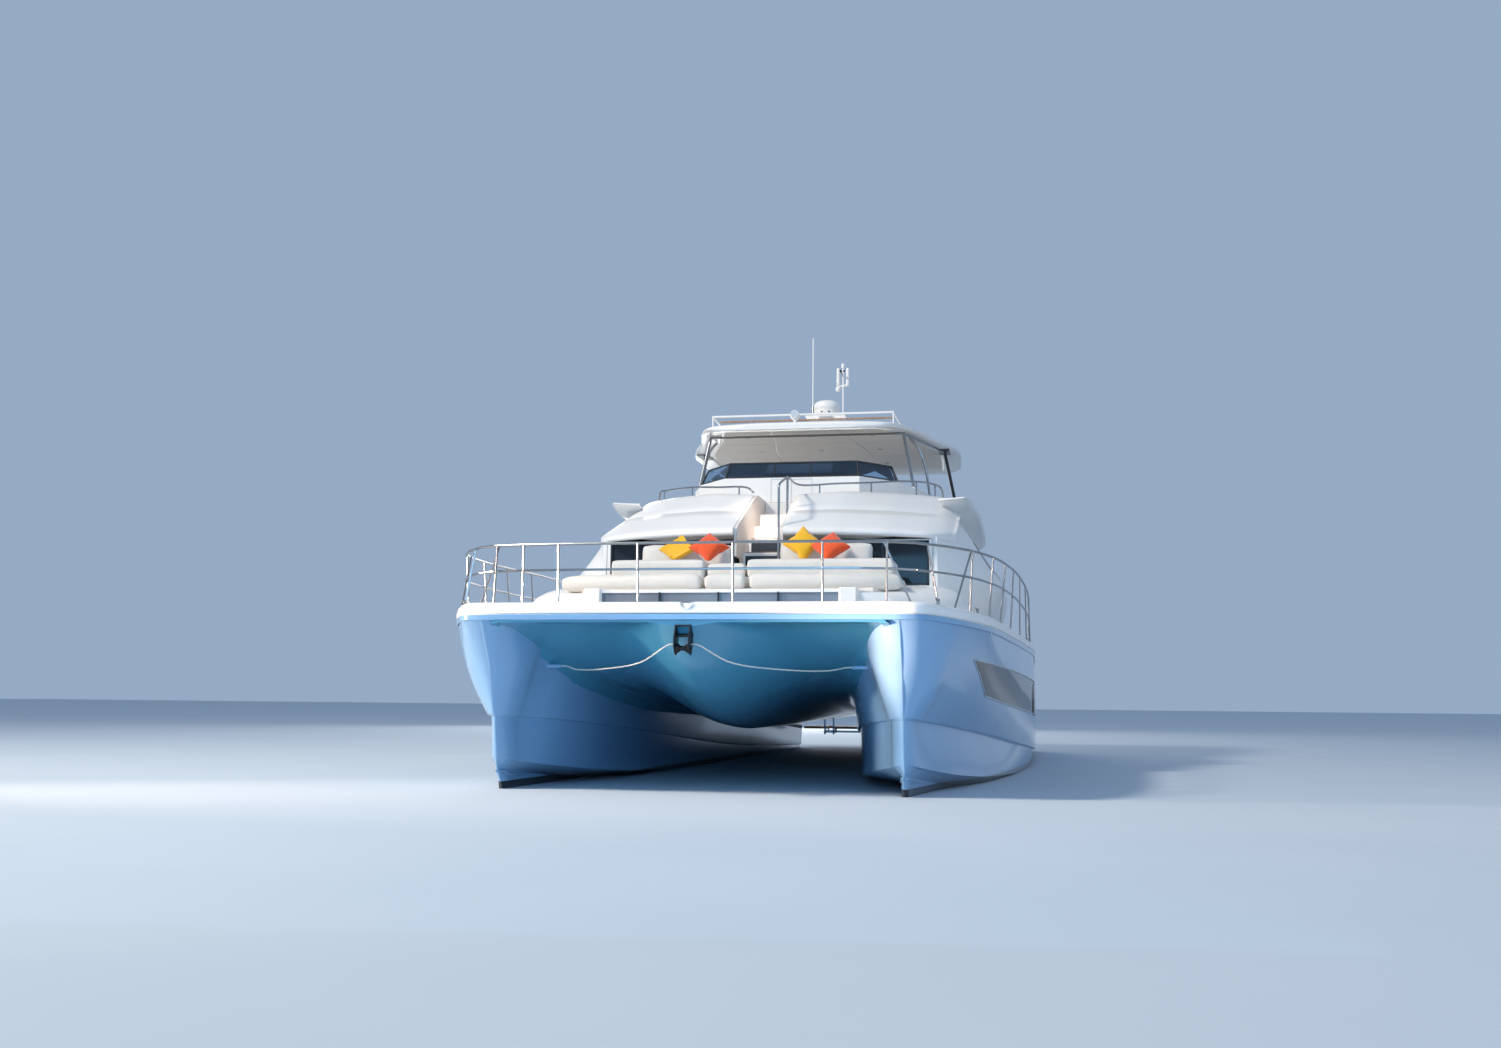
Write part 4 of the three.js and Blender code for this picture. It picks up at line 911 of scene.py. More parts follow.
def window_grid(out, shrink=0.0):
    grid = []
    for i in range(WINDOW_ROWS + 1):
        share = shrink + (1 - 2 * shrink) * i / WINDOW_ROWS
        top, low = on_line(WINDOW_TOP, share), on_line(WINDOW_LOW, share)
        column = []
        for j in range(9):
            t = shrink * 3 + (1 - 6 * shrink) * j / 8
            y, z = low[0] + (top[0] - low[0]) * t, low[1] + (top[1] - low[1]) * t
            column.append(Vector((topside_x(y, z) + out, y, z)) * MM)
        grid.append(column)
    return grid


def rim_of(grid):
    rim = [column[0] for column in grid] + grid[-1][1:]
    return rim + [column[-1] for column in grid[-2::-1]] + grid[0][-2:0:-1]


def ring_pipe(points, radius, sides=8):
    """A closed round frame along the points."""
    rings = []
    for i, p in enumerate(points):
        along = (points[(i + 1) % len(points)] - points[i - 1]).normalized()
        outward = Vector((1, 0, 0)) if abs(along.x) < 0.9 else Vector((0, 0, 1))
        across = (outward - along * outward.dot(along)).normalized()
        other = along.cross(across)
        rings.append([p + (across * c + other * s) * radius for c, s in circle(sides)])
    return loft(rings + [rings[0]], closed=False)


def hull_windows():
    pane = loft([front + back[::-1] for front, back in zip(window_grid(5, 0.012), window_grid(-30, 0.012))])
    frame_ring = ring_pipe(rim_of(window_grid(1)), 0.012)
    port_x = topside_x(-80, 1060) * MM + 0.012
    outline = [Vector((port_x, -0.08 + 0.17 * c, 1.08 + 0.24 * s)) for c, s in circle(32)]
    lens = loft([[p + Vector((d, 0, 0)) for p in outline] for d in (-0.03, -0.004)])
    return pane, frame_ring, ring_pipe(outline, 0.02, 10), lens


PANE, WINDOW_FRAME, PORT_FRAME, PORT_LENS = hull_windows()
pair("hull_window", PANE, HULL_GLASS, stands_for=["hull_glass"])
pair("hull_window_frame", WINDOW_FRAME, GREY_PLASTIC)
pair("hull_port_frame", PORT_FRAME, WHITE)
pair("hull_port_lens", PORT_LENS, DARK_GLASS)
print("the hull window is", round((WINDOW_TOP[-1][0] - WINDOW_TOP[0][0]) * MM, 2), "m long")

# %% [markdown]
# ## Bridge between the hulls
#
# The bridge carries the deck across the tunnel. Its underside slopes down from the bow, a rounded keel pod
# runs along the middle to part the waves, and wide fillets join it to the hulls.

# %% Bridge
TUNNEL = [
    # y, roof height, half width of the pod, depth of the pod
    [-8395, 1838, 420, 1790],
    [-8250, 1822, 560, 1600],
    [-8120, 1800, 700, 1470],
    [-7960, 1735, 850, 1350],
    [-7500, 1560, 1050, 1120],
    [-7000, 1390, 1130, 960],
    [-6300, 1235, 1150, 790],
    [-5580, 1130, 1120, 700],
    [-4300, 1010, 1050, 645],
    [-2000, 885, 980, 645],
    [500, 795, 850, 660],
    [4000, 738, 600, 695],
    [7700, 718, 400, 712],
]


def tunnel_edge(y):
    """x and z where the bridge's underside meets the hull, and x of the hull's face lower down."""
    if y >= STATIONS[0][0]:
        edge = along_table(STATIONS, y, CREASE_X)
        z = along_table(STATIONS, y, CREASE_Z)
        low_z = along_table(STATIONS, y, 3) + 26
        low_x = along_table(STATIONS, y, 11) - 24
        return edge, z, edge + (low_x - edge) * min(1, 200 / (z - low_z))
    t = max(0.0, (y + 8120) / (STATIONS[0][0] + 8120))
    x = 2140 + t * (STATIONS[0][CREASE_X] - 2140) - max(0, -8120 - y) * 0.2
    return x, 1850 - t * 250, x + 12 * t


def bridge_ring(row):
    y, roof, pod_half, pod_z = row
    x, z, low_x = tunnel_edge(y)
    half = []
    for k in range(15):
        t = k / 14
        swell = t * t * (3 - 2 * t)
        half.append((pod_half * t, roof + (pod_z - roof) * (1 - swell)))
    drop = min(200, 0.5 * (z - 600)) * min(1.0, max(0.05, (y + 8400) / 1600))
    start = Vector((max(x - 20 - drop, pod_half + 10), y, roof))
    fillet = through(start, Vector((x - 0.25 * drop, y, roof - 0.18 * drop)),
                     Vector((low_x + 4, y, roof - drop)), 8)
    half += [(p.x, p.z) for p in fillet]
    top = along_table(STATIONS, y, SHEER) + (18 if y < -7500 else 0)
    half += [(low_x + 90, roof - drop), (x + 60, z), (x + 60, top)]
    side = [Vector((px, y, pz)) * MM for px, pz in half]
    return side + flipped(side[:0:-1])


BRACKET = [(7.66, 0.29), (7.85, 0.29), (7.85, 0.42), (7.76, 0.705), (7.66, 0.705)]
brackets = [side_slab(BRACKET, x, x + 0.03) for x in (-0.61, -0.42, 0.39, 0.58)]
brackets += [block(x, x + 0.22, 7.5, 7.7, 0.69, 0.74) for x in (-0.61, 0.39)]
bridge_shape = loft([bridge_ring(row) for row in smooth_rows(TUNNEL, 84)])
# The bridge takes the tunnel paint, whose deeper blue ahead is a painted shade.
piece("bridge", *merged(bridge_shape, *brackets), TUNNEL_SHADE_PAINT, stands_for=["bridgedeck"], bevel=0.004)
print("the tunnel is", round(2 * STATIONS[4][CREASE_X] * MM, 2), "m wide amidships")

# %% [markdown]
# ## Deck and bulwark
#
# The deck closes the hulls and the bridge from gunwale to gunwale. Around it stands a low moulded rim, the
# bulwark: a broad white band with a rounded top and a fine groove at its foot. Its section is swept along
# the deck's edge. At the middle of the bow a notch lets the mooring gear through.

# %% Deck edge
DECK_EDGE = [
    # y, sheer z, gunwale x
    [-8400, 1890, 2250],
    [-8370, 1890, 2420],
    [-8290, 1890, 2540],
    [-8120, 1888, 2640],
] + [row[:3] for row in STATIONS]
DECK_THICK = 60
BULWARK_END = 7000
NOTCH = {"x": 0.03, "radius": 0.075}


def edge_at(y):
    """Half width of the deck, in metres, at a place in metres."""
    return along_table(DECK_EDGE, y / MM, 2) * MM


def sheer_at(y):
    return along_table(DECK_EDGE, y / MM, 1) * MM


def deck_rows(end=None):
    """Rows of the deck's edge from the bow, as far aft as end if one is given."""
    bow = smooth_rows(DECK_EDGE[:4], 9)[:-1]
    if end is None:
        return bow + smooth_rows(DECK_EDGE[3:], 60)
    start = DECK_EDGE[3][0]
    places = [start + (end - start) * k / 70 for k in range(71)]
    return bow + [[y] + [along_table(DECK_EDGE, y, column) for column in (1, 2)] for y in places]


def deck_shape():
    rings = []
    for y, sheer, edge in deck_rows():
        low, top = sheer + 1, sheer + DECK_THICK
        ring = [(-edge + 4, low), (-edge + 4, top)] + [(edge * k / 4, top) for k in (-3, -2, -1, 0, 1, 2, 3)]
        ring += [(edge - 4, top), (edge - 4, low)]
        rings.append([Vector((x, y, z)) * MM for x, z in ring])
    return loft(rings)


piece("deck", *deck_shape(), NONSLIP, stands_for=["main_deck"])
print("deck edge at the bow:", round(edge_at(-8.4), 2), "m from the middle")

# %% [markdown]
# The bulwark is one profile that follows the edge of the deck. It sinks into a round notch at the
# fairlead, near the middle of the bow.

# %% Bulwark
PROFILE = [
    # outward and upward from the gunwale at the sheer, in metres
    (-0.03, 0.036), (-0.008, 0.042), (0.002, 0.05), (0.0, 0.105), (-0.012, 0.138), (-0.036, 0.16),
    (-0.07, 0.169), (-0.118, 0.168), (-0.142, 0.156),
    (-0.15, 0.13), (-0.15, 0.05), (-0.152, 0.036),
]
GUNWALE_STRIP = [(-0.014, -0.03), (0.0, -0.022), (0.003, 0.026), (-0.004, 0.034), (-0.03, 0.035)]


def bulwark_path():
    side = [Vector((edge, y, sheer)) * MM for y, sheer, edge in deck_rows(BULWARK_END)]
    front = [Vector((2.25 * k / 40, -8.4 - 0.03 * (1 - (k / 40) ** 2), 1.89)) for k in range(40)]
    notch = [NOTCH["x"] + NOTCH["radius"] * k / 8 for k in range(-9, 10)]
    middle = [Vector((x, -8.43, 1.89)) for x in notch]
    front = [p for p in front if p.x > notch[-1] + 0.01]
    left = [p for p in front if -p.x < notch[0] - 0.01]
    return flipped(left + side)[::-1] + middle + front + side


def outward_at(path, i):
    """The level way across a path, to the outside of the boat."""
    along = heading(path, i)
    return Vector((along.y, -along.x, 0)).normalized()


def bulwark_shape(profile):
    path = bulwark_path()
    rings = []
    for i, p in enumerate(path):
        out = outward_at(path, i)
        inside = NOTCH["radius"] ** 2 - (p.x - NOTCH["x"]) ** 2
        sunk = math.sqrt(inside) if inside > 0 and p.y < -8.4 else 0
        rings.append([p + out * o + Vector((0, 0, min(h, 0.168 - sunk) if h > 0.06 else h)) for o,
                      h in profile])
    return loft(rings)


piece("rim", *bulwark_shape(PROFILE), WHITE, stands_for=["bulwark"], sharp=40)
piece("gunwale_strip", *bulwark_shape(GUNWALE_STRIP), HULL_PAINT, sharp=40)
print("the bulwark stands", max(h for o, h in PROFILE), "m above the gunwale")

# %% [markdown]
# Deck gear: a raised lip around the bow notch, mooring cleats on the bulwark, a windlass ahead of the
# locker, round filler caps and flush foredeck hatches. A cleat is two short legs under a long horn.

# %% Deck gear
HORN = [(-0.13, 0.062), (-0.07, 0.052), (0, 0.05), (0.07, 0.052), (0.13, 0.062)]


def cleat(x, y, z, turn):
    along = Vector((math.sin(turn), math.cos(turn), 0))
    base = Vector((x, y, z))
    horn = [base + along * d + Vector((0, 0, h)) for d, h in HORN]
    legs = [pipe([base + along * d, base + along * d * 0.9 + Vector((0, 0, 0.05))], 0.014,
                 10) for d in (-0.05, 0.05)]
    return merged(pipe(horn, lambda t: 0.008 + 0.009 * math.sin(math.pi * t), 10), *legs)


def deck_gear():
    cleats = []
    for y in (-7.9, -6.6, -0.4, 4.6, 6.6):
        x, z = edge_at(y) - 0.09, sheer_at(y) + 0.166
        cleats += [cleat(x, y, z, 0.1), cleat(-x, y, z, -0.1)]
    cap = [(0.05, -0.01), (0.05, 0.006), (0.04, 0.009), (0.0, 0.009)]
    caps = [turned(cap, (sign * 2.75, y, sheer_at(y) + 0.06)) for sign in (1, -1) for y in (-2.2, 1.6)]
    return merged(*cleats, *caps)


piece("cleats_and_caps", *deck_gear(), STEEL, bevel=0.002)
lining = [[(NOTCH["x"] + 0.07 * c, y, 2.05 + 0.07 * s) for c, s in circle(32)[16:] + circle(32)[:1]]
          for y in (-8.435, -8.3)]
piece("notch_lining", *merged(*[pipe(edge, 0.008, 8) for edge in lining]), WHITE)
drum = [(0.085, 0.0), (0.085, 0.015), (0.055, 0.025), (0.055, 0.05), (0.08, 0.062), (0.08, 0.07),
        (0.0, 0.074)]
windlass = merged(block(-0.16, 0.16, -8.18, -7.97, 1.915, 1.935), turned(drum, (0.05, -8.08, 1.93)))
piece("windlass", *windlass, DARK_METAL, bevel=0.003)


HATCHES = [(1.6, -7.35), (-1.6, -7.35), (2.75, -4.6), (-2.75, -4.6)]


def hatch_blocks(half, low, high):
    """Square blocks at the hatches, between two heights above the sheer."""
    return merged(*[block(x - half, x + half, y - half, y + half, sheer_at(y) + low, sheer_at(y) + high)
                    for x, y in HATCHES])


piece("hatch_frames", *hatch_blocks(0.26, 0.055, 0.085), STEEL, bevel=0.008)
piece("hatch_panes", *hatch_blocks(0.22, 0.08, 0.091), GREY_GLASS, bevel=0.004)
print("deck gear placed")

# %% [markdown]
# ## Trunk and lounge base
#
# Ahead of the saloon the deck rises into a low trunk that gives headroom below. It has one long dark
# window across its front, parted by slim posts, and its sides sweep down to the side decks in soft
# mouldings. On it stands the moulded base of the lounge.

# %% Trunk
SWEEP = [
    # y, inner x at the top, height there, outer x on the deck
    [-6.35, 1.86, 2.3, 2.1],
    [-6.0, 2.06, 2.34, 2.5],
    [-5.5, 2.2, 2.42, 2.86],
    [-4.8, 2.3, 2.5, 3.02],
    [-4.0, 2.36, 2.54, 3.0],
    [-3.2, 2.42, 2.56, 2.9],
]


def sweep_shape():
    rings = []
    for y, inner, high, outer in smooth_rows(SWEEP, 20):
        low = sheer_at(y) + 0.05
        ring = [(inner - 0.3, low), (inner - 0.3, high)]
        for k in range(7):
            t = k / 6
            ring.append((inner + (outer - inner) * t,
                         high - (high - low) * (1 - math.sqrt(max(0, 1 - t**2.6)))))
        rings.append([(x, y, z) for x, z in ring])
    return loft(rings)


pair("side_sweep", sweep_shape(), WHITE, sharp=45)
posts = [block(x - 0.009, x + 0.009, -6.632, -6.6, 2.16, 2.295) for x in (-0.72, 0.0, 0.72)]
ends = [block(x0, x1, -6.66, -6.45, 2.12, 2.345) for x0, x1 in ((-1.66, -1.45), (1.45, 1.66))]
piece("trunk_posts", *merged(*posts), BLACK_PLASTIC)
piece("trunk_ends", *merged(*ends), WHITE, bevel=0.02, segments=3)
print("trunk sweeps run from y", SWEEP[0][0], "to", SWEEP[-1][0])

# %% [markdown]
# ## Cushions
#
# The lounge has a long padded roll along its front edge, seat cushions behind it and two wide back rests.
# A cushion is foam in a tight cover: crowned in the middle, drawn in along its seams. Cloth under a gentle
# inner pressure gives that shape better than any bevel, so each pad starts a little small as an even
# grid, swells for twenty frames and keeps the result.

# %% Cloth helper
SWELL_FRAMES = 20


def grid_box(x0, x1, y0, y1, z0, z1, cell):
    """A closed box with even square faces on all sides."""
    work = bmesh.new()
    bmesh.ops.create_cube(work, size=1)
    sizes = (x1 - x0, y1 - y0, z1 - z0)
    for v in work.verts:
        v.co = Vector([low + (share + 0.5) * size for low, share, size in zip((x0, y0, z0), v.co, sizes)])
    for axis, size in enumerate(sizes):
        cuts = max(1, round(size / cell)) - 1
        edges = [e for e in work.edges if abs((e.verts[0].co - e.verts[1].co)[axis]) > 0.5 * size]
        if cuts and edges:
            bmesh.ops.subdivide_edges(work, edges=edges, cuts=cuts, use_grid_fill=True)
    return work


def swollen(name, work, finish, cap, stands_for=(), pressure=4.0, fill=0.7):
    """Lets cloth with an inner pressure round the shape, moves no point further than cap, and keeps it."""
    mesh = bpy.data.meshes.new(name)
    bmesh.ops.recalc_face_normals(work, faces=work.faces)
    work.to_mesh(mesh)
    work.free()
    obj = bpy.data.objects.new(name, mesh)
    bpy.context.scene.collection.objects.link(obj)
    start = [v.co.copy() for v in mesh.vertices]
    settle(obj, pressure)
    for v, before in zip(obj.data.vertices, start):
        moved = v.co - before
        if moved.length > cap:
            v.co = before + moved * (cap / moved.length)
    obj.data.shade_smooth()
    obj.data.materials.append(finish)
    rounding = obj.modifiers.new("smooth", "SUBSURF")
    rounding.levels = rounding.render_levels = 1
    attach(obj, "boat")
    if stands_for:
        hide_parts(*stands_for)
    return obj


def settle(obj, pressure):
    cloth = obj.modifiers.new("swell", "CLOTH")
    cloth.settings.use_pressure = True
    cloth.settings.uniform_pressure_force = pressure
    cloth.settings.tension_stiffness = 30
    cloth.settings.compression_stiffness = 30
    cloth.settings.bending_stiffness = 1.0
    cloth.settings.mass = 0.4
    cloth.settings.effector_weights.gravity = 0
    cloth.collision_settings.use_collision = False
    cloth.point_cache.frame_start = 1
    cloth.point_cache.frame_end = SWELL_FRAMES
    scene = bpy.context.scene
    for step in range(1, SWELL_FRAMES + 1):
        scene.frame_set(step)
    graph = bpy.context.evaluated_depsgraph_get()
    made = bpy.data.meshes.new_from_object(obj.evaluated_get(graph))
    obj.modifiers.clear()
    obj.data = made
    scene.frame_set(1)


print("cloth helper ready; quick look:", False)

# %% [markdown]
# A pad's plan is not always a box. The grid is bent to its outline by moving the points of the box, and
# the corners are drawn in before the cloth swells, as a sewn cover draws them.

# %% Pads
def pad(name, box, finish, cap, bend=None, cell=0.045, tuck=0.03, **more):
    work = grid_box(*box, cell)
    x0, x1, y0, y1, z0, z1 = box
    low, high = Vector((x0, y0, z0)), Vector((x1, y1, z1))
    middle, half = (low + high) / 2, (high - low) / 2
    for v in work.verts:
        share = [abs((v.co[k] - middle[k]) / half[k]) for k in range(3)]
        drawn = max(0, sorted(share)[1] - 0.75) * 4 * tuck
        for k in range(3):
            if share[k] > 0.7:
                v.co[k] -= math.copysign(drawn * share[k] * min(1, half[k] / 0.1), v.co[k] - middle[k])
        if bend:
            v.co = bend(v.co)
    return swollen(name, work, finish, cap, **more)


def roll_bend(p):
    """The front roll narrows and turns aft toward its ends."""
    reach = abs(p.x) / 2.19
    taper = 1 - 0.35 * max(0, reach - 0.8) / 0.2
    y = -6.24 + (p.y + 6.24) * taper + 0.16 * reach**4
    z = ROLL_FOOT + (p.z - ROLL_FOOT) * (1 - 0.12 * reach**4)
    return Vector((p.x, y, z))


SEAT = 2.6
ROLL_FOOT = 2.37
ROLL_TOP = 2.545
SEAMS = [-2.17, -0.285, 0.25, 2.17]
ROLLS = [
    # side, x from and to, front edge, top, cap of the swell, tuck
    ("starboard", SEAMS[0], SEAMS[1] - 0.004, -6.24, ROLL_TOP, 0.03, 0.018),
    ("middle", SEAMS[1] + 0.004, SEAMS[2] - 0.004, -6.235, ROLL_TOP - 0.008, 0.02, 0.012),
    ("port", SEAMS[2] + 0.004, SEAMS[3], -6.24, ROLL_TOP, 0.03, 0.018),
]
for side, x0, x1, front, top, cap, tuck in ROLLS:
    pad(f"front_roll_{side}", (x0, x1, front, -5.2, ROLL_FOOT, top), CANVAS, cap, bend=roll_bend, cell=0.06,
        tuck=tuck, stands_for=["sun_pad"])
CUSHIONS = [
    # side, x from and to, front edge, top, cap of the swell, node
    ("starboard", -1.8, -0.51, -5.08, 2.84, 0.014, ["seat_pad_starboard"]),
    ("middle", -0.495, 0.025, -5.05, 2.79, 0.012, ()),
    ("port", 0.04, 1.97, -5.08, 2.84, 0.014, ["seat_pad_port"]),
]
for side, x0, x1, front, top, cap, nodes in CUSHIONS:
    pad(f"seat_cushion_{side}", (x0, x1, front, -4.34, SEAT, top), CANVAS, cap, tuck=0.01, stands_for=nodes)
PLINTH = [(-1.95, -5.2), (-2.06, -5.8), (-1.8, -6.13), (1.8, -6.13), (2.06, -5.8), (1.95, -5.2)]
plinth = loft([[(x, y, z) for x, y in PLINTH] for z in (2.325, ROLL_FOOT + 0.012)])
piece("roll_plinth", *plinth, LINER, bevel=0.01)


def back_bend(p):
    """Back rests lean aft and are thinner at the top."""
    lift = (p.z - SEAT) / 0.58
    return Vector((p.x, -4.3 + (p.y + 4.3) * (1 - 0.3 * lift) + 0.12 * lift, p.z))


for side, x0, x1 in (("port", 0.32, 1.62), ("starboard", -1.62, -0.32)):
    pad(f"back_rest_{side}", (x0, x1, -4.3, -4.08, SEAT + 0.01, 3.165), CANVAS, 0.025, bend=back_bend,
        stands_for=[f"back_pad_{side}"])

# %% [markdown]
# ## Throw pillows
#
# Four square pillows lean on the back rests, each on one corner: two yellow and two orange. A pillow is
# two squares of cloth sewn at the rim, so it is thick in the middle, thin at the seam, with four pointed
# ears. It starts as a flat double sheet and swells.

# %% Pillows
PILLOW_HALF = 0.222
PILLOW_CELLS = 20
PILLOW_REST = 2.862
PILLOWS = [
    # name, colour, middle, lean, turn about the upright, roll from standing on a corner
    ("pillow_yellow_port", YELLOW, (0.7, -4.44, 3.105), 0.42, 0.1, -0.02),
    ("pillow_orange_port", ORANGE, (1.08, -4.56, 3.05), 0.7, -0.12, 0.05),
    ("pillow_orange_starboard", ORANGE, (-0.57, -4.55, 3.06), 0.7, 0.1, -0.03),
    ("pillow_yellow_starboard", YELLOW, (-1.03, -4.45, 3.05), 0.7, -0.15, 0.04),
]


def pillow_grid(seed):
    rng = random.Random(seed)
    work = bmesh.new()
    count = PILLOW_CELLS
    rows = {}
    for side in (1, -1):
        for i in range(count + 1):
            for j in range(count + 1):
                rim = i in (0, count) or j in (0, count)
                if rim and side == -1:
                    rows[(side, i, j)] = rows[(1, i, j)]
                    continue
                u, v = 2 * i / count - 1, 2 * j / count - 1
                thick = 0.05 * (1 - u**4) * (1 - v**4) + rng.uniform(0, 0.002)
                x = u * PILLOW_HALF * (1 - 0.03 * (1 - v * v))
                z = v * PILLOW_HALF * (1 - 0.03 * (1 - u * u))
                rows[(side, i, j)] = work.verts.new((x, side * (0 if rim else thick), z))
    for side in (1, -1):
        for i in range(count):
            for j in range(count):
                corners = [(i, j), (i + 1, j), (i + 1, j + 1), (i, j + 1)]
                face = [rows[(side, a, b)] for a, b in corners]
                work.faces.new(face if side == 1 else face[::-1])
    return work


def place_pillow(work, middle, lean, turn, roll):
    """Leans the pillow back on one corner, and presses that corner flat on the seat."""
    move = Matrix.Translation(middle) @ Matrix.Rotation(turn, 4, "Z") @ Matrix.Rotation(-lean, 4, "X")
    bmesh.ops.transform(work, matrix=move @ Matrix.Rotation(math.pi / 4 + roll, 4, "Y"), verts=work.verts)
    for v in work.verts:
        if v.co.z < PILLOW_REST:
            v.co.z = PILLOW_REST + 0.15 * (v.co.z - PILLOW_REST)


for seed, (name, colour, middle, lean, turn, roll) in enumerate(PILLOWS):
    work = pillow_grid(seed)
    place_pillow(work, middle, lean, turn, roll)
    swollen(f"{name}_cloth", work, colour, 0.06, stands_for=[name], pressure=7.0, fill=0.75)
print("pillows about", round(2 * PILLOW_HALF, 2), "m square")

# %% [markdown]
# ## Brows
#
# Two sloping panels reach forward from the flybridge over the lounge. Each is a thick moulding with a
# rounded lip, nearly flat faces that meet in soft folds, and one fine crease. The section is worked out at
# every place across the panel, and the underside follows the roof of the saloon below it.

# %% Brow sections
BROW = [
    # x, y and z of the lip, y and z of the crest, in millimetres
    [352, -4050, 3370, -2460, 4070],
    [1000, -3960, 3368, -2150, 4150],
    [1700, -3760, 3362, -1550, 4190],
    [2300, -3430, 3350, -800, 4240],
    [2500, -3150, 3360, -600, 4225],
    [2640, -2700, 3420, -440, 4130],
]
BROW_COLUMNS = [[(row[0], row[column]) for row in BROW] for column in range(1, 5)]
BROW_DEEP = 0.16
BROW_BULGE = 0.03
CREASE = {"share": 0.5, "deep": 0.01}
FACE_SHARES = (0.02, 0.08, 0.2, 0.35, 0.488, 0.497, 0.503, 0.512, 0.65, 0.8, 0.92)
UNDER = {"lip_y": -3.37, "lip_z": 3.286, "top_y": -1.3, "top_z": 3.972}
FLY_TOP = 4.06
FLY_FRONT = [[0, -1.4], [1.5, -1.4], [2.3, -0.9], [2.58, -0.5], [2.9, -0.2]]


def under_brow(y):
    t = min(max((y - UNDER["lip_y"]) / (UNDER["top_y"] - UNDER["lip_y"]), 0), 1)
    return UNDER["lip_z"] + t * (UNDER["top_z"] - UNDER["lip_z"])


def straight(table, place):
    """The value at a place on straight lines between the table's points."""
    for (a, u), (b, v) in zip(table, table[1:]):
        if place <= b:
            return u + (v - u) * (place - a) / (b - a)
    return table[-1][1]


def brow_top(x, y):
    """Height of the panel's face over a point, or a great height behind it."""
    y0, z0, y1, z1 = [straight(column, x / MM) * MM for column in BROW_COLUMNS]
    return z0 + (z1 - z0) * max(0, y - y0) / (y1 - y0) if y < y1 else 9


def brow_face(t, y0, z0, y1, z1):
    sunk = CREASE["deep"] if abs(t - CREASE["share"]) < 0.004 else 0
    return y0 + (y1 - y0) * t, z0 + (z1 - z0) * t + BROW_BULGE * t * (1 - t) - sunk


def brow_ring(x, y0, z0, y1, z1):
    low = UNDER["lip_z"]

    def under(y):
        return max(low, min(under_brow(y), brow_top(x, y) - 0.05))

    ring = [(y0 + 0.05, low), (y0 + 0.018, low + 0.004), (y0, low + 0.025), (y0, z0 - 0.035)]
    ring += [(y0 + 0.012, z0 - 0.008)] + [brow_face(t, y0, z0, y1, z1) for t in FACE_SHARES]
    back = y1 + BROW_DEEP
    ring += [(y1 - 0.02, z1 + 0.003), (y1 + 0.03, z1 + 0.008), (back - 0.03, z1), (back, z1 - 0.03)]
    front = straight(FLY_FRONT, x) - 0.004
    over = FLY_TOP + 0.002
    start = front - 0.001
    places = [start + (y0 + 0.06 - start) * k / 6 for k in range(1, 7)]
    ring += [(back, over), (front, over), (start, under(front))] + [(y, under(y)) for y in places]
    return [Vector((x, y, z)) for y, z in ring]


def folded_rows(width, steps):
    """Rows of the brow's table in straight runs, with each fold rounded over the given width."""
    low, high = BROW[0][0], BROW[-1][0]
    rows = []
    for k in range(steps + 1):
        x = low + (high - low) * k / steps
        near = min(width, x - low, high - x)
        places = [x + near * shift for shift in (-1, -0.6, -0.2, 0.2, 0.6, 1)]
        rows.append([x] + [sum(straight(line,
                                        place) for place in places) / len(places) for line in BROW_COLUMNS])
    return rows


def shrunk(ring, share, out):
    """The ring drawn in toward its middle and moved along x, as a rounded end needs it."""
    middle = middle_of(ring)
    return [p.lerp(middle, share) + Vector((out, 0, 0)) for p in ring]


def brow_shape():
    rings = [brow_ring(*[value * MM for value in row]) for row in folded_rows(70, 56)]
    ends = [shrunk(rings[-1], *row) for row in ((0.015, 0.008), (0.05, 0.019), (0.12, 0.03), (0.25, 0.037))]
    return loft([shrunk(rings[0], 0.012, -0.006)] + rings + ends)


pair("brow_panel", brow_shape(), WHITE, stands_for=["brow"], sharp=50)
print("brow lip to crest:", round(math.dist(brow_face(0, -4.05, 3.37, -2.46, 4.07), (-2.46, 4.07)), 2), "m")

# %% [markdown]
# The flybridge deck spreads wider than the saloon, so that it shades the side decks. Its edge is one
# moulded beam, carried around the sides and the stern: a rounded rim above and a soffit that slopes in.

# %% Flybridge edge
FLY_EDGE = [
    # x, y, z of the rim's outer corner
    (2.76, -1.7, 4.1), (2.82, -1.5, 4.1), (2.88, -0.9, 4.1), (2.94, 0.0, 4.1), (2.97, 1.5, 4.1),
    (2.98, 3.0, 4.09),
    (2.96, 4.3, 4.085), (2.86, 4.75, 4.085), (2.42, 5.62, 4.085), (2.25, 5.75, 4.085), (1.2, 5.8, 4.085),
    (0.0, 5.81, 4.085),
]
EDGE_PROFILE = [
    # inward and upward from the rim's outer corner
    (0.43, -0.24), (0.36, -0.21), (0.06, -0.125), (0.015, -0.09), (0.0, -0.05), (0.0, 0.0), (0.012, 0.022),
    (0.035, 0.032), (0.085, 0.032), (0.11, 0.02), (0.13, 0.004), (0.43, 0.0),
]


def swept(path, profile, thin=0.8):
    """The profile carried along a path; over the distance thin it grows from a sharp tip at both ends."""
    rings = []
    for i, p in enumerate(path):
        out = outward_at(path, i)
        grown = min(1, 0.12 + min((p - path[0]).length, (p - path[-1]).length) / thin) if thin else 1
        rings.append([p - out * inward + Vector((0, 0, up * grown)) for inward, up in profile])
    return loft(rings)


edge_half = curve_through(FLY_EDGE, 66)
edge_path = edge_half + flipped(edge_half[-2::-1])
piece("fly_edge", *swept(edge_path, EDGE_PROFILE), WHITE, sharp=40)
print("flybridge is", round(2 * max(p.x for p in edge_path), 2), "m wide")

# %% [markdown]
# ## Saloon
#
# The side walls flare out from the deck to a soft sill and lean in above it. Each holds one long dark
# window that lies flush on the wall, with a thin black border.

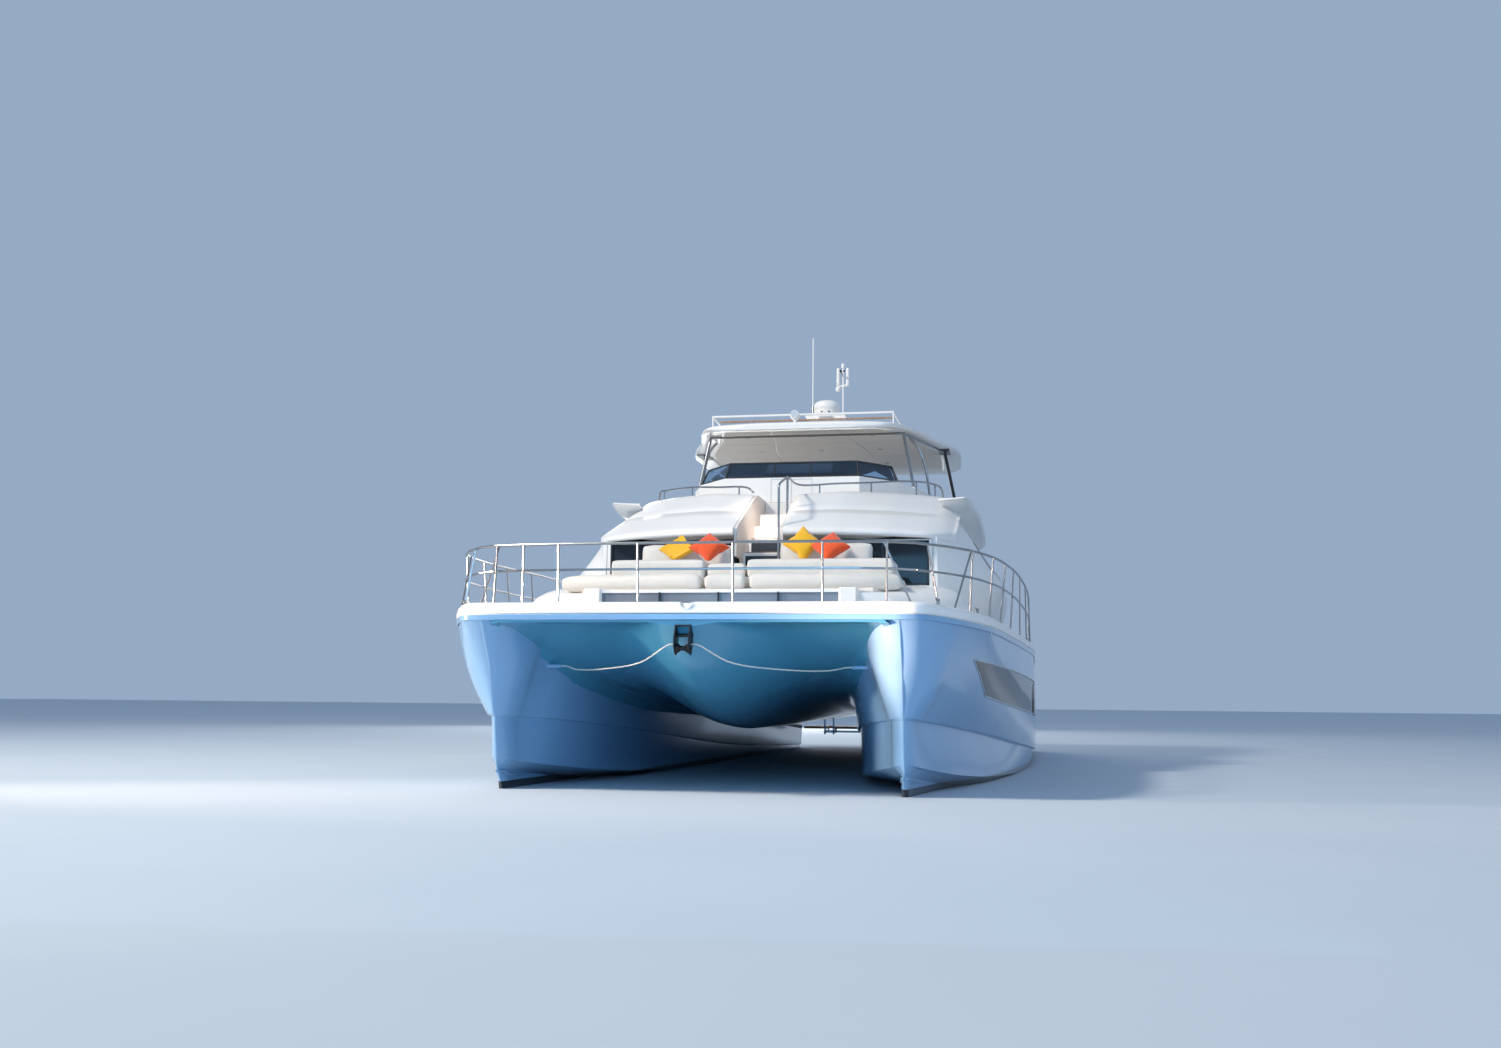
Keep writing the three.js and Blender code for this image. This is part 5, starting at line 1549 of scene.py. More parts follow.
# %% Saloon sides
SIDE = [
    # y, x on the deck, x at the sill, x at the top, in metres
    [-3.3, 2.42, 2.425, 2.421],
    [-2.8, 2.78, 2.945, 2.5],
    [-2.0, 3.03, 3.275, 2.53],
    [-1.3, 3.1, 3.345, 2.54],
    [0.6, 3.13, 3.365, 2.54],
    [3.6, 3.13, 3.345, 2.54],
]
SILL = 2.72
FLARE = [
    # share from the deck to the sill, share of the flare
    (0.0, 0.0), (0.3, 0.06), (0.55, 0.38), (0.78, 0.76), (0.9, 0.94), (0.97, 1.0),
]


def side_profile(y, x_deck, x_sill, x_top):
    low = sheer_at(y) + 0.05
    high = min(under_brow(y), 3.975, brow_top(x_top, y) - 0.03) - 0.003
    points = [(x_deck + (x_sill - x_deck) * out, low + (SILL - low) * up) for up, out in FLARE]
    for k in range(11):
        t = k / 10
        ease = 1 - 0.35 * (1 - t) ** 6
        points.append((x_sill + (x_top - x_sill) * t * ease, SILL + 0.02 + (high - SILL - 0.02) * t))
    return points


def side_shape():
    rings = []
    for row in smooth_rows(SIDE, 48):
        outer = side_profile(*row)
        inner = [(x - 0.055, z) for x, z in outer]
        rings.append([(x, row[0], z) for x, z in outer + inner[::-1]])
    return loft(rings)


pair("saloon_wall", side_shape(), WHITE, stands_for=["saloon_side"], sharp=40)

SIDE_WINDOW = [(-1.75, 3.0), (-1.1, 3.5), (-0.9, 3.56), (2.9, 3.62), (3.05, 3.5), (3.05, 2.95), (2.9, 2.84),
               (-1.2, 2.86)]


def wall_point(y, z, proud):
    points = side_profile(y, *[along_table(SIDE, y, column) for column in (1, 2, 3)])
    for (x0, z0), (x1, z1) in zip(points, points[1:]):
        if z0 <= z <= z1:
            return Vector((x0 + (x1 - x0) * (z - z0) / (z1 - z0) + proud, y, z))
    return Vector((points[-1][0] + proud, y, z))


def flush_pane(outline, proud, columns=40, rows=8):
    """A closed sheet on the side wall, between the outline's lower and upper edges."""
    ys = [p[0] for p in outline]
    y0, y1 = min(ys), max(ys)
    front, back = [], []
    for i in range(columns + 1):
        y = y0 + (y1 - y0) * i / columns
        hits = []
        for a, b in zip(outline, outline[1:] + outline[:1]):
            if min(a[0], b[0]) <= y <= max(a[0], b[0]) and a[0] != b[0]:
                hits.append(a[1] + (b[1] - a[1]) * (y - a[0]) / (b[0] - a[0]))
        low, high = min(hits), max(hits)
        front.append([wall_point(y, low + (high - low) * k / rows, proud) for k in range(rows + 1)])
        back.append([wall_point(y, low + (high - low) * k / rows, -0.01) for k in range(rows, -1, -1)])
    return loft([a + b for a, b in zip(front, back)])


pair("side_window_border", flush_pane(SIDE_WINDOW, 0.004), BLACK_PLASTIC)
inset = [(0.65 + (y - 0.65) * 0.985, 3.22 + (z - 3.22) * 0.94) for y, z in SIDE_WINDOW]
pair("side_window", flush_pane(inset, 0.008), DARK_GLASS, stands_for=["side_glass"])
side_bars = [[wall_point(y, 2.88 + 0.66 * k / 6, 0.011) for k in range(7)] for y in (0.4, 1.75)]
pair("side_window_bars", merged(*[pipe(line, 0.01, 8) for line in side_bars]), BLACK_PLASTIC)
print("side window from y", SIDE_WINDOW[0][0], "to", SIDE_WINDOW[4][0])

# %% [markdown]
# Two dark windows look forward from the saloon, one on each side of the stair. A black border runs
# around each of them, and two slim mullions part its glass.

# %% Saloon front
FRONT_Y = -3.3
MULLIONS = (1.02, 1.66)
bars = [block(x - 0.018, x + 0.018, FRONT_Y - 0.006, FRONT_Y + 0.02, 2.645, 3.255) for x in MULLIONS]
BORDER = [(0.37, 2.31, 3.235, 3.265), (0.37, 2.31, 2.635, 2.665), (0.37, 0.4, 2.635, 3.265),
          (2.28, 2.31, 2.635, 3.265)]
border = [block(x0, x1, FRONT_Y - 0.008, FRONT_Y + 0.012, z0, z1) for x0, x1, z0, z1 in BORDER]
pair("front_window_frame", merged(*bars, *border), BLACK_PLASTIC, bevel=0.003)
print("front panes are parted at x", MULLIONS)

# %% [markdown]
# Between the brows a stair climbs from the lounge to the flybridge. Its well is lined with two walls that
# follow the brows, and each tread has a grooved teak pad.

# %% Stair well
STAIR = {"half": 0.3, "front": -4.0, "back": -1.255, "steps": 6, "low": 2.6, "high": 4.06}


def well_wall():
    top = [(-3.96, 3.3)] + [brow_face(t, -4.05, 3.37, -2.46, 4.07) for t in (0.05, 0.3, 0.6, 0.95)]
    top += [(-2.3, 4.1), (-1.3, 4.1)]
    rings = []
    for y, z in top:
        low, high = 2.602 if y > FRONT_Y else 3.0, z - 0.012
        rings.append([(x, y, h) for x, h in ((0.306, low), (0.306, high), (0.345, high), (0.345, low))])
    return loft(rings)


pair("well_wall", well_wall(), LINER, sharp=30)
rise = (STAIR["high"] - STAIR["low"]) / STAIR["steps"]
run = (STAIR["back"] - STAIR["front"]) / STAIR["steps"]


def step_at(k):
    """The front edge of a step, and its height."""
    return STAIR["front"] + run * k, STAIR["low"] + rise * (k + 1)


def flight_shape():
    outline = [(STAIR["front"], STAIR["low"] + 0.001)]
    for k in range(STAIR["steps"]):
        y, z = step_at(k)
        nose = 0.012 if k < 3 else 0.001
        outline += [(y, z - 0.03), (y - nose, z - 0.024), (y - nose, z - 0.004), (y - 0.5 * nose, z),
                    (y + run, z)]
    outline += [(STAIR["back"], 3.4), (-3.3, STAIR["low"] + 0.001)]
    return side_slab(outline, -STAIR["half"], STAIR["half"])


piece("stair_flight", *flight_shape(), WHITE, stands_for=["stair"])
pads, riser_shade_strips = [], []
for k in range(STAIR["steps"]):
    y, z = step_at(k)
    pads.append(block(-0.26, 0.24, y - 0.014 if k < 3 else y + 0.05, y + run - 0.03, z + 0.001, z + 0.012))
    # Black strips on the risers under the second and third steps are painted shade: the dark gap beneath each
    # nose.
    if 0 < k < 3:
        riser_shade_strips.append(block(-0.26, 0.24, y - 0.004, y + 0.002, z - rise + 0.02, z - 0.045))
piece("stair_treads", *merged(*pads), TEAK, bevel=0.003)
# These black strips are painted shade under the step noses.
piece("stair_risers", *merged(*riser_shade_strips), BLACK_PLASTIC)

HAND_RAIL = {"x": 0.282, "radius": 0.0175, "low": (-3.96, 3.98), "high": (-3.2, 4.22)}


def hand_rail():
    x, radius = HAND_RAIL["x"], HAND_RAIL["radius"]
    (y0, z0), (y1, z1) = HAND_RAIL["low"], HAND_RAIL["high"]
    foot = step_at(0)[1] + 0.002
    loop = curve_through([(x, y0, z0 - 0.04), (x, y0 + 0.01, z0), (x, y1, z1)], 24)
    tubes = [pipe(line, radius, 12) for line in (loop, [(x, y0, foot), loop[0]],
                                                 [(x, y1, 3.68), (x, y1, z1)])]
    collar = turned([(0.04, 0), (0.04, 0.008), (0.02, 0.02), (0.0, 0.02)], (x, y0, foot), 16)
    return merged(*tubes, collar, block(x, 0.307, y1 - 0.02, y1 + 0.02, 3.685, 3.73))


piece("stair_rail", *hand_rail(), STEEL)
print("each step rises", round(rise, 3), "m")

# %% [markdown]
# ## Flybridge
#
# A low coaming surrounds the upper deck. Its sides carry a rounded cap, and in front a raked screen of
# tinted glass in a black frame shelters the helm. Fine seams mark the gate at the head of the stair.

# %% Coaming and screen
COAMING_SIDE = [(1.86, 0.3), (2.08, 1.4), (2.26, 2.8), (2.3, 5.1)]
COAMING_TOP = 4.56
SCREEN_HIGH = 4.83
SCREEN_LOW = [(1.64, -0.3), (1.6, -0.37), (1.075, -1.0)]
SCREEN_TOP = [(1.53, -0.21), (1.5, -0.27), (1.035, -0.85)]
CAP_PROFILE = [(0.1, -0.02), (-0.008, -0.02), (-0.016, -0.008), (-0.012, 0.008), (0.0, 0.016), (0.09, 0.016),
               (0.104, 0.006)]


side_line = curve_through([(x, y, COAMING_TOP) for x, y in COAMING_SIDE], 30)
pair("coaming_cap", swept(side_line, CAP_PROFILE, thin=0), WHITE, sharp=40)


def around(points, z):
    half = [Vector((x, y, z)) for x, y in points]
    return half + flipped(half[::-1])


low_line = around(SCREEN_LOW, COAMING_TOP + 0.012)
top_line = around(SCREEN_TOP, SCREEN_HIGH)
frame_posts = [pipe([low_line[k], top_line[k]], 0.016, 8) for k in (0, 2, 3, 5)]
frame_posts += [pipe([low_line[2].lerp(low_line[3], t), top_line[2].lerp(top_line[3], t)], 0.01,
                     8) for t in (0.36, 0.64)]
piece("screen_frame", *merged(pipe(low_line, 0.02, 8), pipe(top_line, 0.016, 8), *frame_posts), BLACK_PLASTIC)
seams = [block(x - 0.003, x + 0.003, -1.0465, -1.03, 4.07, 4.54) for x in (-0.33, 0.0, 0.33)]
piece("gate_seams", *merged(*seams, block(-0.33, 0.33, -1.0465, -1.03, 4.528, 4.534)), GREY_PLASTIC)
print("the screen stands", round(SCREEN_HIGH - COAMING_TOP, 2), "m above the coaming")

# %% [markdown]
# Hand rails run along the crest of each brow. The port rail starts at the head of the stair rail and
# the starboard rail ends beside the stair. Their stanchions stand on the moulding below.

# %% Fly rails
RAIL_FOOT = [(0.035, 0), (0.035, 0.006), (0.014, 0.018), (0.0, 0.018)]
FLY_RAIL_PORT = [
    (0.282, -3.2, 4.22), (0.37, -2.4, 4.22), (0.85, -2.1, 4.28), (1.33, -1.75, 4.34), (1.84, -1.05, 4.46),
    (2.19, -0.5, 4.5), (2.34, -0.12, 4.46), (2.36, -0.02, 4.3),
]
FLY_RAIL_STARBOARD = [
    (-0.36, -2.42, 4.12), (-0.46, -2.36, 4.2), (-1.0, -2.02, 4.27), (-1.49, -1.6, 4.34), (-2.1, -0.8, 4.42),
    (-2.26, -0.6, 4.42), (-2.3, -0.52, 4.3),
]


def rail(line, radius, posts, post_radius):
    """A tube along the line; posts are pairs of a point on it and the height of the post's foot."""
    parts = [pipe(line, radius, 12)]
    for head, low in posts:
        foot = Vector((head.x, head.y, low))
        parts += [pipe([foot, head], post_radius, 10), turned(RAIL_FOOT, foot, 14)]
    return merged(*parts)


def crest_rail(route, places):
    """A rail over a brow, with posts at the given x."""
    line = curve_through(route, 90)
    heads = [min(line, key=lambda p: abs(p.x - x)) for x in places]
    feet = [along_table(BROW, abs(x) / MM, 4) * MM + 0.002 for x in places]
    return rail(line, 0.0145, zip(heads, feet), 0.0115)


piece("fly_rail_port", *crest_rail(FLY_RAIL_PORT, (0.62, 1.33, 1.98, 2.24)), STEEL)
piece("fly_rail_starboard", *crest_rail(FLY_RAIL_STARBOARD, (-0.62, -1.49, -2.16)), STEEL)
print("fly rails", round(length_of(curve_through(FLY_RAIL_PORT, 60)), 2), "m and",
      round(length_of(curve_through(FLY_RAIL_STARBOARD, 60)), 2), "m")

# %% [markdown]
# ## Hardtop
#
# The roof is one thin moulding with a soft edge. Its underside is let in, and the recess is lined with
# beige panels that have fine gaps between them. Round lights sit flush in the panels.

# %% Roof
ROOF = [
    # y, half width, height of the underside
    [-480, 1000, 5450],
    [-330, 1450, 5480],
    [300, 1760, 5540],
    [1460, 2040, 5600],
    [3370, 2540, 5600],
    [4600, 2500, 5560],
    [5100, 2250, 5540],
]
RECESS = {"deep": 0.035, "rim": 0.34, "front": 0.0, "back": 4.8}


def roof_at(y):
    return [along_table(ROOF, y / MM, column) * MM for column in (1, 2)]


def recess_at(y):
    into = min((y - RECESS["front"]) / 0.15, (RECESS["back"] - y) / 0.15, 1)
    return RECESS["deep"] * max(0, into)


def roof_ring(y):
    half, z = roof_at(y)
    inner, deep = half - RECESS["rim"], recess_at(y)
    side = [
        (0.02, z + deep), (inner - 0.03, z + deep), (inner, z), (half - 0.07, z),
        (half - 0.03, z + 0.01), (half - 0.006, z + 0.03), (half, z + 0.048), (half - 0.012, z + 0.072),
        (half - 0.05, z + 0.088), (half * 0.8, z + 0.104), (half * 0.6, z + 0.117), (half * 0.3, z + 0.119),
    ]
    ring = [Vector((x, y, h)) for x, h in side]
    return ring + flipped(ring[::-1])


def roof_shape():
    places = [-0.48, -0.47, -0.45, -0.42, -0.38] + [-0.33 + 5.43 * k / 60 for k in range(61)]
    rings = [roof_ring(y) for y in places]
    for ring, shrink in ((rings[0], 0.3), (rings[1], 0.12), (rings[-1], 0.25)):
        middle = middle_of(ring)
        for p in ring:
            p.z += (middle.z - p.z) * shrink
    return loft(rings)


piece("roof", *roof_shape(), WHITE, stands_for=["hardtop"], sharp=35)


def lining_panel(x0, x1, y0, y1):
    """A panel in the recess; x0 and x1 are shares of the recess's half width."""
    rings = []
    for k in range(13):
        y = y0 + (y1 - y0) * k / 12
        half, z = roof_at(y)
        reach = half - RECESS["rim"] - 0.05
        low, high = z + RECESS["deep"] - 0.012, z + RECESS["deep"] + 0.004
        a, b = x0 * reach + 0.008, x1 * reach - 0.008
        rings.append([(a, y, high), (a, y, low), (b, y, low), (b, y, high)])
    return loft(rings)


PANEL_SHARES = (-1.0, -0.42, 0.42, 1.0)
PANEL_STOPS = (0.2, 1.75, 3.2, 4.6)
panels = [lining_panel(a, b, c + 0.01, d - 0.01) for a, b in zip(PANEL_SHARES, PANEL_SHARES[1:])
          for c, d in zip(PANEL_STOPS, PANEL_STOPS[1:])]
piece("roof_lining", *merged(*panels), LINER, bevel=0.006)


ROOF_LIGHT = [(0.0, -0.006), (0.04, -0.006), (0.05, 0.0), (0.05, 0.012)]
spots = [(x, y, roof_at(y)[1] + RECESS["deep"] - 0.014) for y in (1.0, 2.5, 4.0) for x in (-1.1, 0.0, 1.1)]
piece("roof_lights", *merged(*[turned(ROOF_LIGHT, spot, 18) for spot in spots]), LENS)
print("roof panels:", len(panels), "lights:", len(spots))

# %% [markdown]
# Slender polished posts carry the roof in front, and broad black ones at the back stand outside the
# coaming on the deck. Flat plates join their heads to the roof.

# %% Roof posts
FRONT_POST = [(1.85, 0.42, 4.575), (1.76, 0.49, 5.07), (1.67, 0.56, 5.55)]
MIDDLE_POST = [(2.06, 1.5, 4.575), (1.99, 1.46, 5.05), (1.86, 1.38, 5.45), (1.72, 1.3, 5.585)]
REAR_POST = [(2.56, 3.45, 4.065), (2.26, 2.82, 5.6)]


def flat_post(a, b, wide, thick):
    a, b = Vector(a), Vector(b)
    along = (b - a).normalized()
    side = along.cross(Vector((1, 0, 0))).normalized()
    over = along.cross(side)
    return loft([[a.lerp(b, k / 8) + side * wide * c + over * thick * s for c,
                  s in circle(16)] for k in range(9)])


def foot_plate(place, radius):
    profile = [(radius, -0.003), (radius, 0.005), (radius * 0.6, 0.017), (0.0, 0.017)]
    return turned(profile, place, 18)


front = merged(pipe(curve_through(FRONT_POST, 12), 0.026, 14), foot_plate(FRONT_POST[0], 0.05))
middle = merged(pipe(curve_through(MIDDLE_POST, 24), 0.021, 12), foot_plate(MIDDLE_POST[0], 0.042))
side_tube = pipe([(1.67, 0.56, 5.538), (2.26, 2.82, 5.588)], 0.02, 10)
cross_tube = pipe([(-1.67, 0.56, 5.538), (1.67, 0.56, 5.538)], 0.02, 10)
pair("roof_post", merged(front, middle, side_tube), STEEL)
piece("roof_cross_tube", *cross_tube, STEEL, stands_for=["hardtop_frame"])
head_plate = block(2.16, 2.36, 2.5, 3.05, 5.582, 5.603)
rear = merged(flat_post(*REAR_POST, 0.052, 0.03), foot_plate(REAR_POST[0], 0.085), head_plate)
pair("roof_rear_post", rear, BLACK_PLASTIC)
print("rear posts are", round((Vector(REAR_POST[1]) - Vector(REAR_POST[0])).length, 2), "m long")

# %% [markdown]
# On the roof stand a remote searchlight, a low rack and a mast with the radar. The radar is a drum with
# a seam around it. The pole beside it carries two upright sensor pods, a wind vane and a light.

# %% Roof gear
LIGHT = Vector((-0.09, -0.1, 5.77))
light_body = turned([(0.0, 0.085), (0.04, 0.08), (0.058, 0.05), (0.064, 0.0), (0.064, -0.06), (0.068, -0.075),
                     (0.06, -0.08), (0.056, -0.07)], LIGHT, 24, "Y")
yoke = [Vector((-0.075 * math.cos(t), 0,
                -0.085 * math.sin(t))) + LIGHT for t in (math.pi * k / 12 for k in range(13))]
stand = turned([(0.07, 0.0), (0.07, 0.012), (0.03, 0.03), (0.03, 0.1)], (LIGHT.x, LIGHT.y, 5.59), 20)
piece("searchlight", *merged(light_body, pipe(yoke, 0.011, 8), stand), WHITE, sharp=40)
piece("searchlight_lens",
      *turned([(0.0, -0.074), (0.03, -0.073), (0.057, -0.07), (0.057, -0.066)], LIGHT, 24, "Y"), LENS)

DOME = Vector((0, 3.3, 6.42))
dome_side = [(0.0, 0.0), (0.225, 0.0), (0.24, 0.012), (0.246, 0.05), (0.247, 0.1), (0.24, 0.106),
             (0.24, 0.114), (0.247, 0.12),
             (0.247, 0.2), (0.238, 0.24), (0.21, 0.272), (0.15, 0.298), (0.07, 0.31), (0.0, 0.313)]
piece("radar_drum", *turned(dome_side, DOME, 40), WHITE, stands_for=["radar_dome"], sharp=50)
vents = [block(x - 0.015, x + 0.015, 3.051, 3.16, 6.47, 6.49) for x in (0.2 * math.cos(1.2),
                                                                        0.2 * math.cos(1.9))]
piece("radar_vents", *merged(*vents), BLACK_PLASTIC)

POLE = Vector((0.315, 3.3, 0))
pods = [turned([(0.0, 0.0), (0.028, 0.01), (0.034, 0.03), (0.034, 0.3), (0.028, 0.34), (0.0, 0.35)],
               POLE + Vector((dx, 0, 7.02)), 16)
        for dx in (-0.09, 0.09)]
ball = turned([(0.0, -0.055), (0.035, -0.045), (0.055, 0.0), (0.035, 0.045), (0.0, 0.055)],
              POLE + Vector((-0.09, -0.02, 6.95)), 18)
lamp_top = turned([(0.03, 0.0), (0.034, 0.02), (0.034, 0.07), (0.02, 0.085), (0.0, 0.088)],
                  POLE + Vector((0, 0, 7.37)), 16)
arm = pipe([POLE + Vector((-0.12, 0, 7.0)), POLE + Vector((0.12, 0, 7.02))], 0.012, 8)
vane = pipe([POLE + Vector((0, 0, 7.2)), POLE + Vector((0, -0.2, 7.23))], 0.0085, 8)
fin = block(0.312, 0.318, 3.06, 3.12, 7.2, 7.26)
cups = [turned([(0.0, -0.02), (0.02, -0.01), (0.024, 0.01)],
               POLE + Vector((0.045 * math.cos(t), -0.2 + 0.045 * math.sin(t), 7.26)), 10)
        for t in (0, 2.1, 4.2)]
piece("mast_sensors", *merged(*pods, ball, arm, lamp_top), WHITE, sharp=45)
piece("wind_gear", *merged(vane, fin, *cups), BLACK_PLASTIC)
whip_foot = turned([(0.03, 0), (0.03, 0.05), (0.02, 0.08), (0.02, 0.2), (0.013, 0.22)], (-0.27, 3.3, 6.42),
                   16)
piece("whip_foot", *whip_foot, STEEL)
slats = [block(-1.5, 1.5, y - 0.03, y + 0.03, 5.8, 5.822) for y in (0.55, 1.05, 1.6, 2.15)]
piece("rack_slats", *merged(*slats), TEAK, bevel=0.004)
print("roof gear placed; radar drum", 2 * max(radius for radius, _ in dome_side), "m across")

# %% [markdown]
# ## Seats on the flybridge and in the cockpit
#
# Each seat is a moulded base with loose cushions on it: one for every place to sit, and one behind it to
# lean on. The bases are hard mouldings with rounded edges, and the cushions are swollen cloth as before.

# %% Helm seat
FLY_FLOOR = 4.062


def leaning(foot_z, slope):
    """A bend that carries points aft as they rise from the foot of a back rest."""
    return lambda p: Vector((p.x, p.y + slope * max(0, p.z - foot_z), p.z))


piece("helm_seat_base", *merged(
    block(-0.57, 0.69, 0.5, 0.99, FLY_FLOOR, 4.4),
    *[block(x - 0.03, x + 0.03, 0.96, 1.02, 4.38, 4.9) for x in (-0.3, 0.42)],
), WHITE, stands_for=["helm_seat"], bevel=0.025, segments=3)
for side, x0, x1 in (("port", 0.07, 0.7), ("starboard", -0.58, 0.05)):
    pad(f"helm_seat_cushion_{side}", (x0, x1, 0.47, 0.93, 4.405, 4.53), BEIGE, 0.014, tuck=0.012,
        stands_for=["helm_seat"])
    pad(f"helm_back_rest_{side}", (x0, x1, 0.9, 0.985, 4.55, 4.99), BEIGE, 0.014, tuck=0.012,
        bend=leaning(4.55, 0.2), stands_for=["helm_seat"])
FOOT_BAR = [(-0.45, 0.5), (-0.45, 0.42), (-0.3, 0.4), (0.42, 0.4), (0.57, 0.42), (0.57, 0.5)]
piece("helm_foot_bar", *pipe(curve_through([(x, y, 4.2) for x, y in FOOT_BAR], 30), 0.014, 10), STEEL)
print("helm seat", round(0.7 + 0.58, 2), "m wide")

# %% [markdown]
# The flybridge sofa runs down the port side and across the stern in an L. The cockpit sofa stands across
# the stern with its back to the transom.

# %% Sofas
def sofa(name, base, seats, backs, slope):
    """Base blocks, seat pads and back pads; the first base block is the shell behind the back pads."""
    piece(f"{name}_base", *merged(*[block(*box) for box in base]), WHITE, stands_for=[name], bevel=0.025,
          segments=3)
    for kind, boxes in (("seat", seats), ("back", backs)):
        for number, box in enumerate(boxes, 1):
            bend = leaning(box[4], slope) if kind == "back" else None
            pad(f"{name}_{kind}_{number}", box, BEIGE, 0.012, bend=bend, cell=0.07, tuck=0.012,
                stands_for=[name])
    print(name, "has", len(seats), "seat pads and", len(backs), "back pads")


THIRDS = [(-2.05, -0.69), (-0.67, 0.67), (0.69, 2.05)]
sofa(
    "fly_sofa",
    [(-2.07, 2.07, 4.87, 4.935, FLY_FLOOR, 4.86), (1.37, 2.07, 2.52, 4.3, FLY_FLOOR, 4.36),
     (-2.07, 2.07, 4.22, 4.89, FLY_FLOOR, 4.36)],
    [(1.37, 2.06, 2.52, 3.35, 4.365, 4.485), (1.37, 2.06, 3.37, 4.2, 4.365, 4.485)]
    + [(x0, x1, 4.22, 4.77, 4.365, 4.485) for x0, x1 in THIRDS],
    [(x0, x1, 4.77, 4.865, 4.5, 4.875) for x0, x1 in THIRDS], 0.0,
)
COCKPIT_DECK = sheer_at(6.5) + 0.052
PLACES = [(-1.67, -0.57), (-0.55, 0.55), (0.57, 1.67)]
sofa(
    "cockpit_sofa",
    [(-1.69, 1.69, 6.88, 6.965, COCKPIT_DECK, 2.58), (-1.69, 1.69, 6.2, 6.9, COCKPIT_DECK, 2.05)],
    [(x0, x1, 6.16, 6.74, 2.055, 2.17) for x0, x1 in PLACES],
    [(x0, x1, 6.74, 6.85, 2.185, 2.6) for x0, x1 in PLACES], 0.08,
)

# %% [markdown]
# ## Bow roller
#
# The roller hangs below the bridge in a dark fitting: two slim cheeks hold it between them, and a plate
# bolts them up to the underside of the bow.

# %% Bow roller
ROLLER_PIN = (0, -8.42, 1.56)
CHEEK = [(-8.5, 1.66), (-8.44, 1.79), (-8.31, 1.79), (-8.31, 1.6), (-8.39, 1.485), (-8.44, 1.5), (-8.5, 1.58)]


def bow_roller():
    cheeks = [side_slab(CHEEK, x, x + 0.016) for x in (-0.088, 0.072)]
    plate = block(-0.088, 0.088, -8.44, -8.31, 1.79, 1.81)
    groove = [(0.0, -0.072), (0.05, -0.07), (0.05, -0.05), (0.026, -0.02)]
    groove += [(radius, -along) for radius, along in groove[::-1]]
    pin = [(0.0, -0.1), (0.018, -0.098), (0.018, 0.098), (0.0, 0.1)]
    drum = turned(groove, ROLLER_PIN, 24, "X")
    return merged(plate, drum, *cheeks,
                  *[turned(pin, place, 12, "X") for place in (ROLLER_PIN, (0, -8.36, 1.7))])


piece("bow_roller_fitting", *bow_roller(), DARK_METAL, stands_for=["anchor_roller"], bevel=0.003)
print("roller below the bow at z", ROLLER_PIN[2])

# %% [markdown]
# ## Propellers and rudders
#
# A propeller has a tapered hub and four blades. Each blade is a thin twisted leaf: wide in the middle,
# round at the tip, and turned less and less from the shaft toward the tip, as its speed through the
# water grows. A rudder is a foil that is thickest a third of the way aft.

# %% Propellers
PROPELLER = {"radius": 0.295, "hub": 0.07, "blades": 4, "pitch": 0.4, "y": 6.35}
HUB = [(0.03, -0.1), (0.062, -0.08), (0.07, 0.0), (0.062, 0.07), (0.045, 0.1), (0.02, 0.125), (0.0, 0.13)]


def blade(turn, hand):
    """One leaf of the propeller at the origin, its axis along Y."""
    rows = []
    for i in range(9):
        t = i / 8
        r = PROPELLER["hub"] * 0.8 + (PROPELLER["radius"] - PROPELLER["hub"] * 0.8) * t
        chord = 0.5 * PROPELLER["radius"] * math.sin(math.pi * (0.22 + 0.74 * t)) ** 0.8 + 0.01
        twist = math.atan2(PROPELLER["pitch"], 2 * math.pi * r)
        ring = []
        for c, s in circle(12):
            along, thick = 0.5 * chord * c, (0.009 - 0.006 * t) * s
            side = hand * (along * math.cos(twist) + thick * math.sin(twist) + 0.05 * t * t)
            level = thick * math.cos(twist) - along * math.sin(twist)
            ring.append((r * math.cos(turn) - side * math.sin(turn), level,
                         r * math.sin(turn) + side * math.cos(turn)))
        rows.append(ring)
    return loft(rows)


def propeller(place, hand):
    blades = [blade(2 * math.pi * k / PROPELLER["blades"], hand) for k in range(PROPELLER["blades"])]
    hub = turned(HUB, (0, 0, 0), 24, "Y")
    shaft = turned([(0.0, -0.93), (0.03, -0.928), (0.03, 0.09)], (0, 0, 0), 20, "Y")
    points, faces = merged(hub, shaft, *blades)
    return [p + Vector(place) for p in points], faces


RUDDER_FOIL = [(0.0, 0.35), (0.06, 0.8), (0.3, 1.0), (0.6, 0.7), (0.85, 0.3), (1.0, 0.08)]
RUDDER = [
    # z, y of the front and back edge, half thickness
    (-0.48, 6.86, 7.35, 0.022), (-0.8, 6.89, 7.32, 0.021), (-1.08, 6.918, 7.292, 0.014),
    (-1.1, 6.93, 7.28, 0.006),
]


def rudder(x):
    """A foil between its top and its shorter foot, on a round stock."""
    rings = []
    for z, front, back, thick in RUDDER:
        side = [(front + (back - front) * t, thick * w) for t, w in RUDDER_FOIL]
        rings.append([(x + w, y, z) for y, w in side] + [(x - w, y, z) for y, w in side[::-1]])
    stock = turned([(0.032, -0.9), (0.032, -0.2), (0.0, -0.2)], (x, 7.05, 0), 20)
    return merged(loft(rings), stock)


for side, hand in SIDES:
    wheel = propeller((hand * AXIS_X, PROPELLER["y"], SHAFT_Z), hand)
    piece(f"propeller_wheel_{side}", *wheel, BRONZE, body=f"propeller_{side}",
          stands_for=[f"propeller_{side}"])
    piece(f"rudder_foil_{side}", *rudder(hand * AXIS_X), BRONZE, body=f"rudder_{side}",
          stands_for=[f"rudder_{side}"])
print("propellers:", PROPELLER["blades"], "blades,", round(2 * PROPELLER["radius"], 2), "m across")

# %% [markdown]
# ## Cockpit
#
# The cockpit has a teak sole laid on the deck. A glass door in a slim dark frame slides across the saloon's
# after wall, with a fixed window on each side beyond its travel. Rails close the corners of the stern and
# the after edge of the flybridge.

# %% Cockpit
AFT_WALL = 3.6
DOOR = {"x0": -0.88, "x1": 0.02, "low": 1.76, "high": 3.64, "face": 3.646}


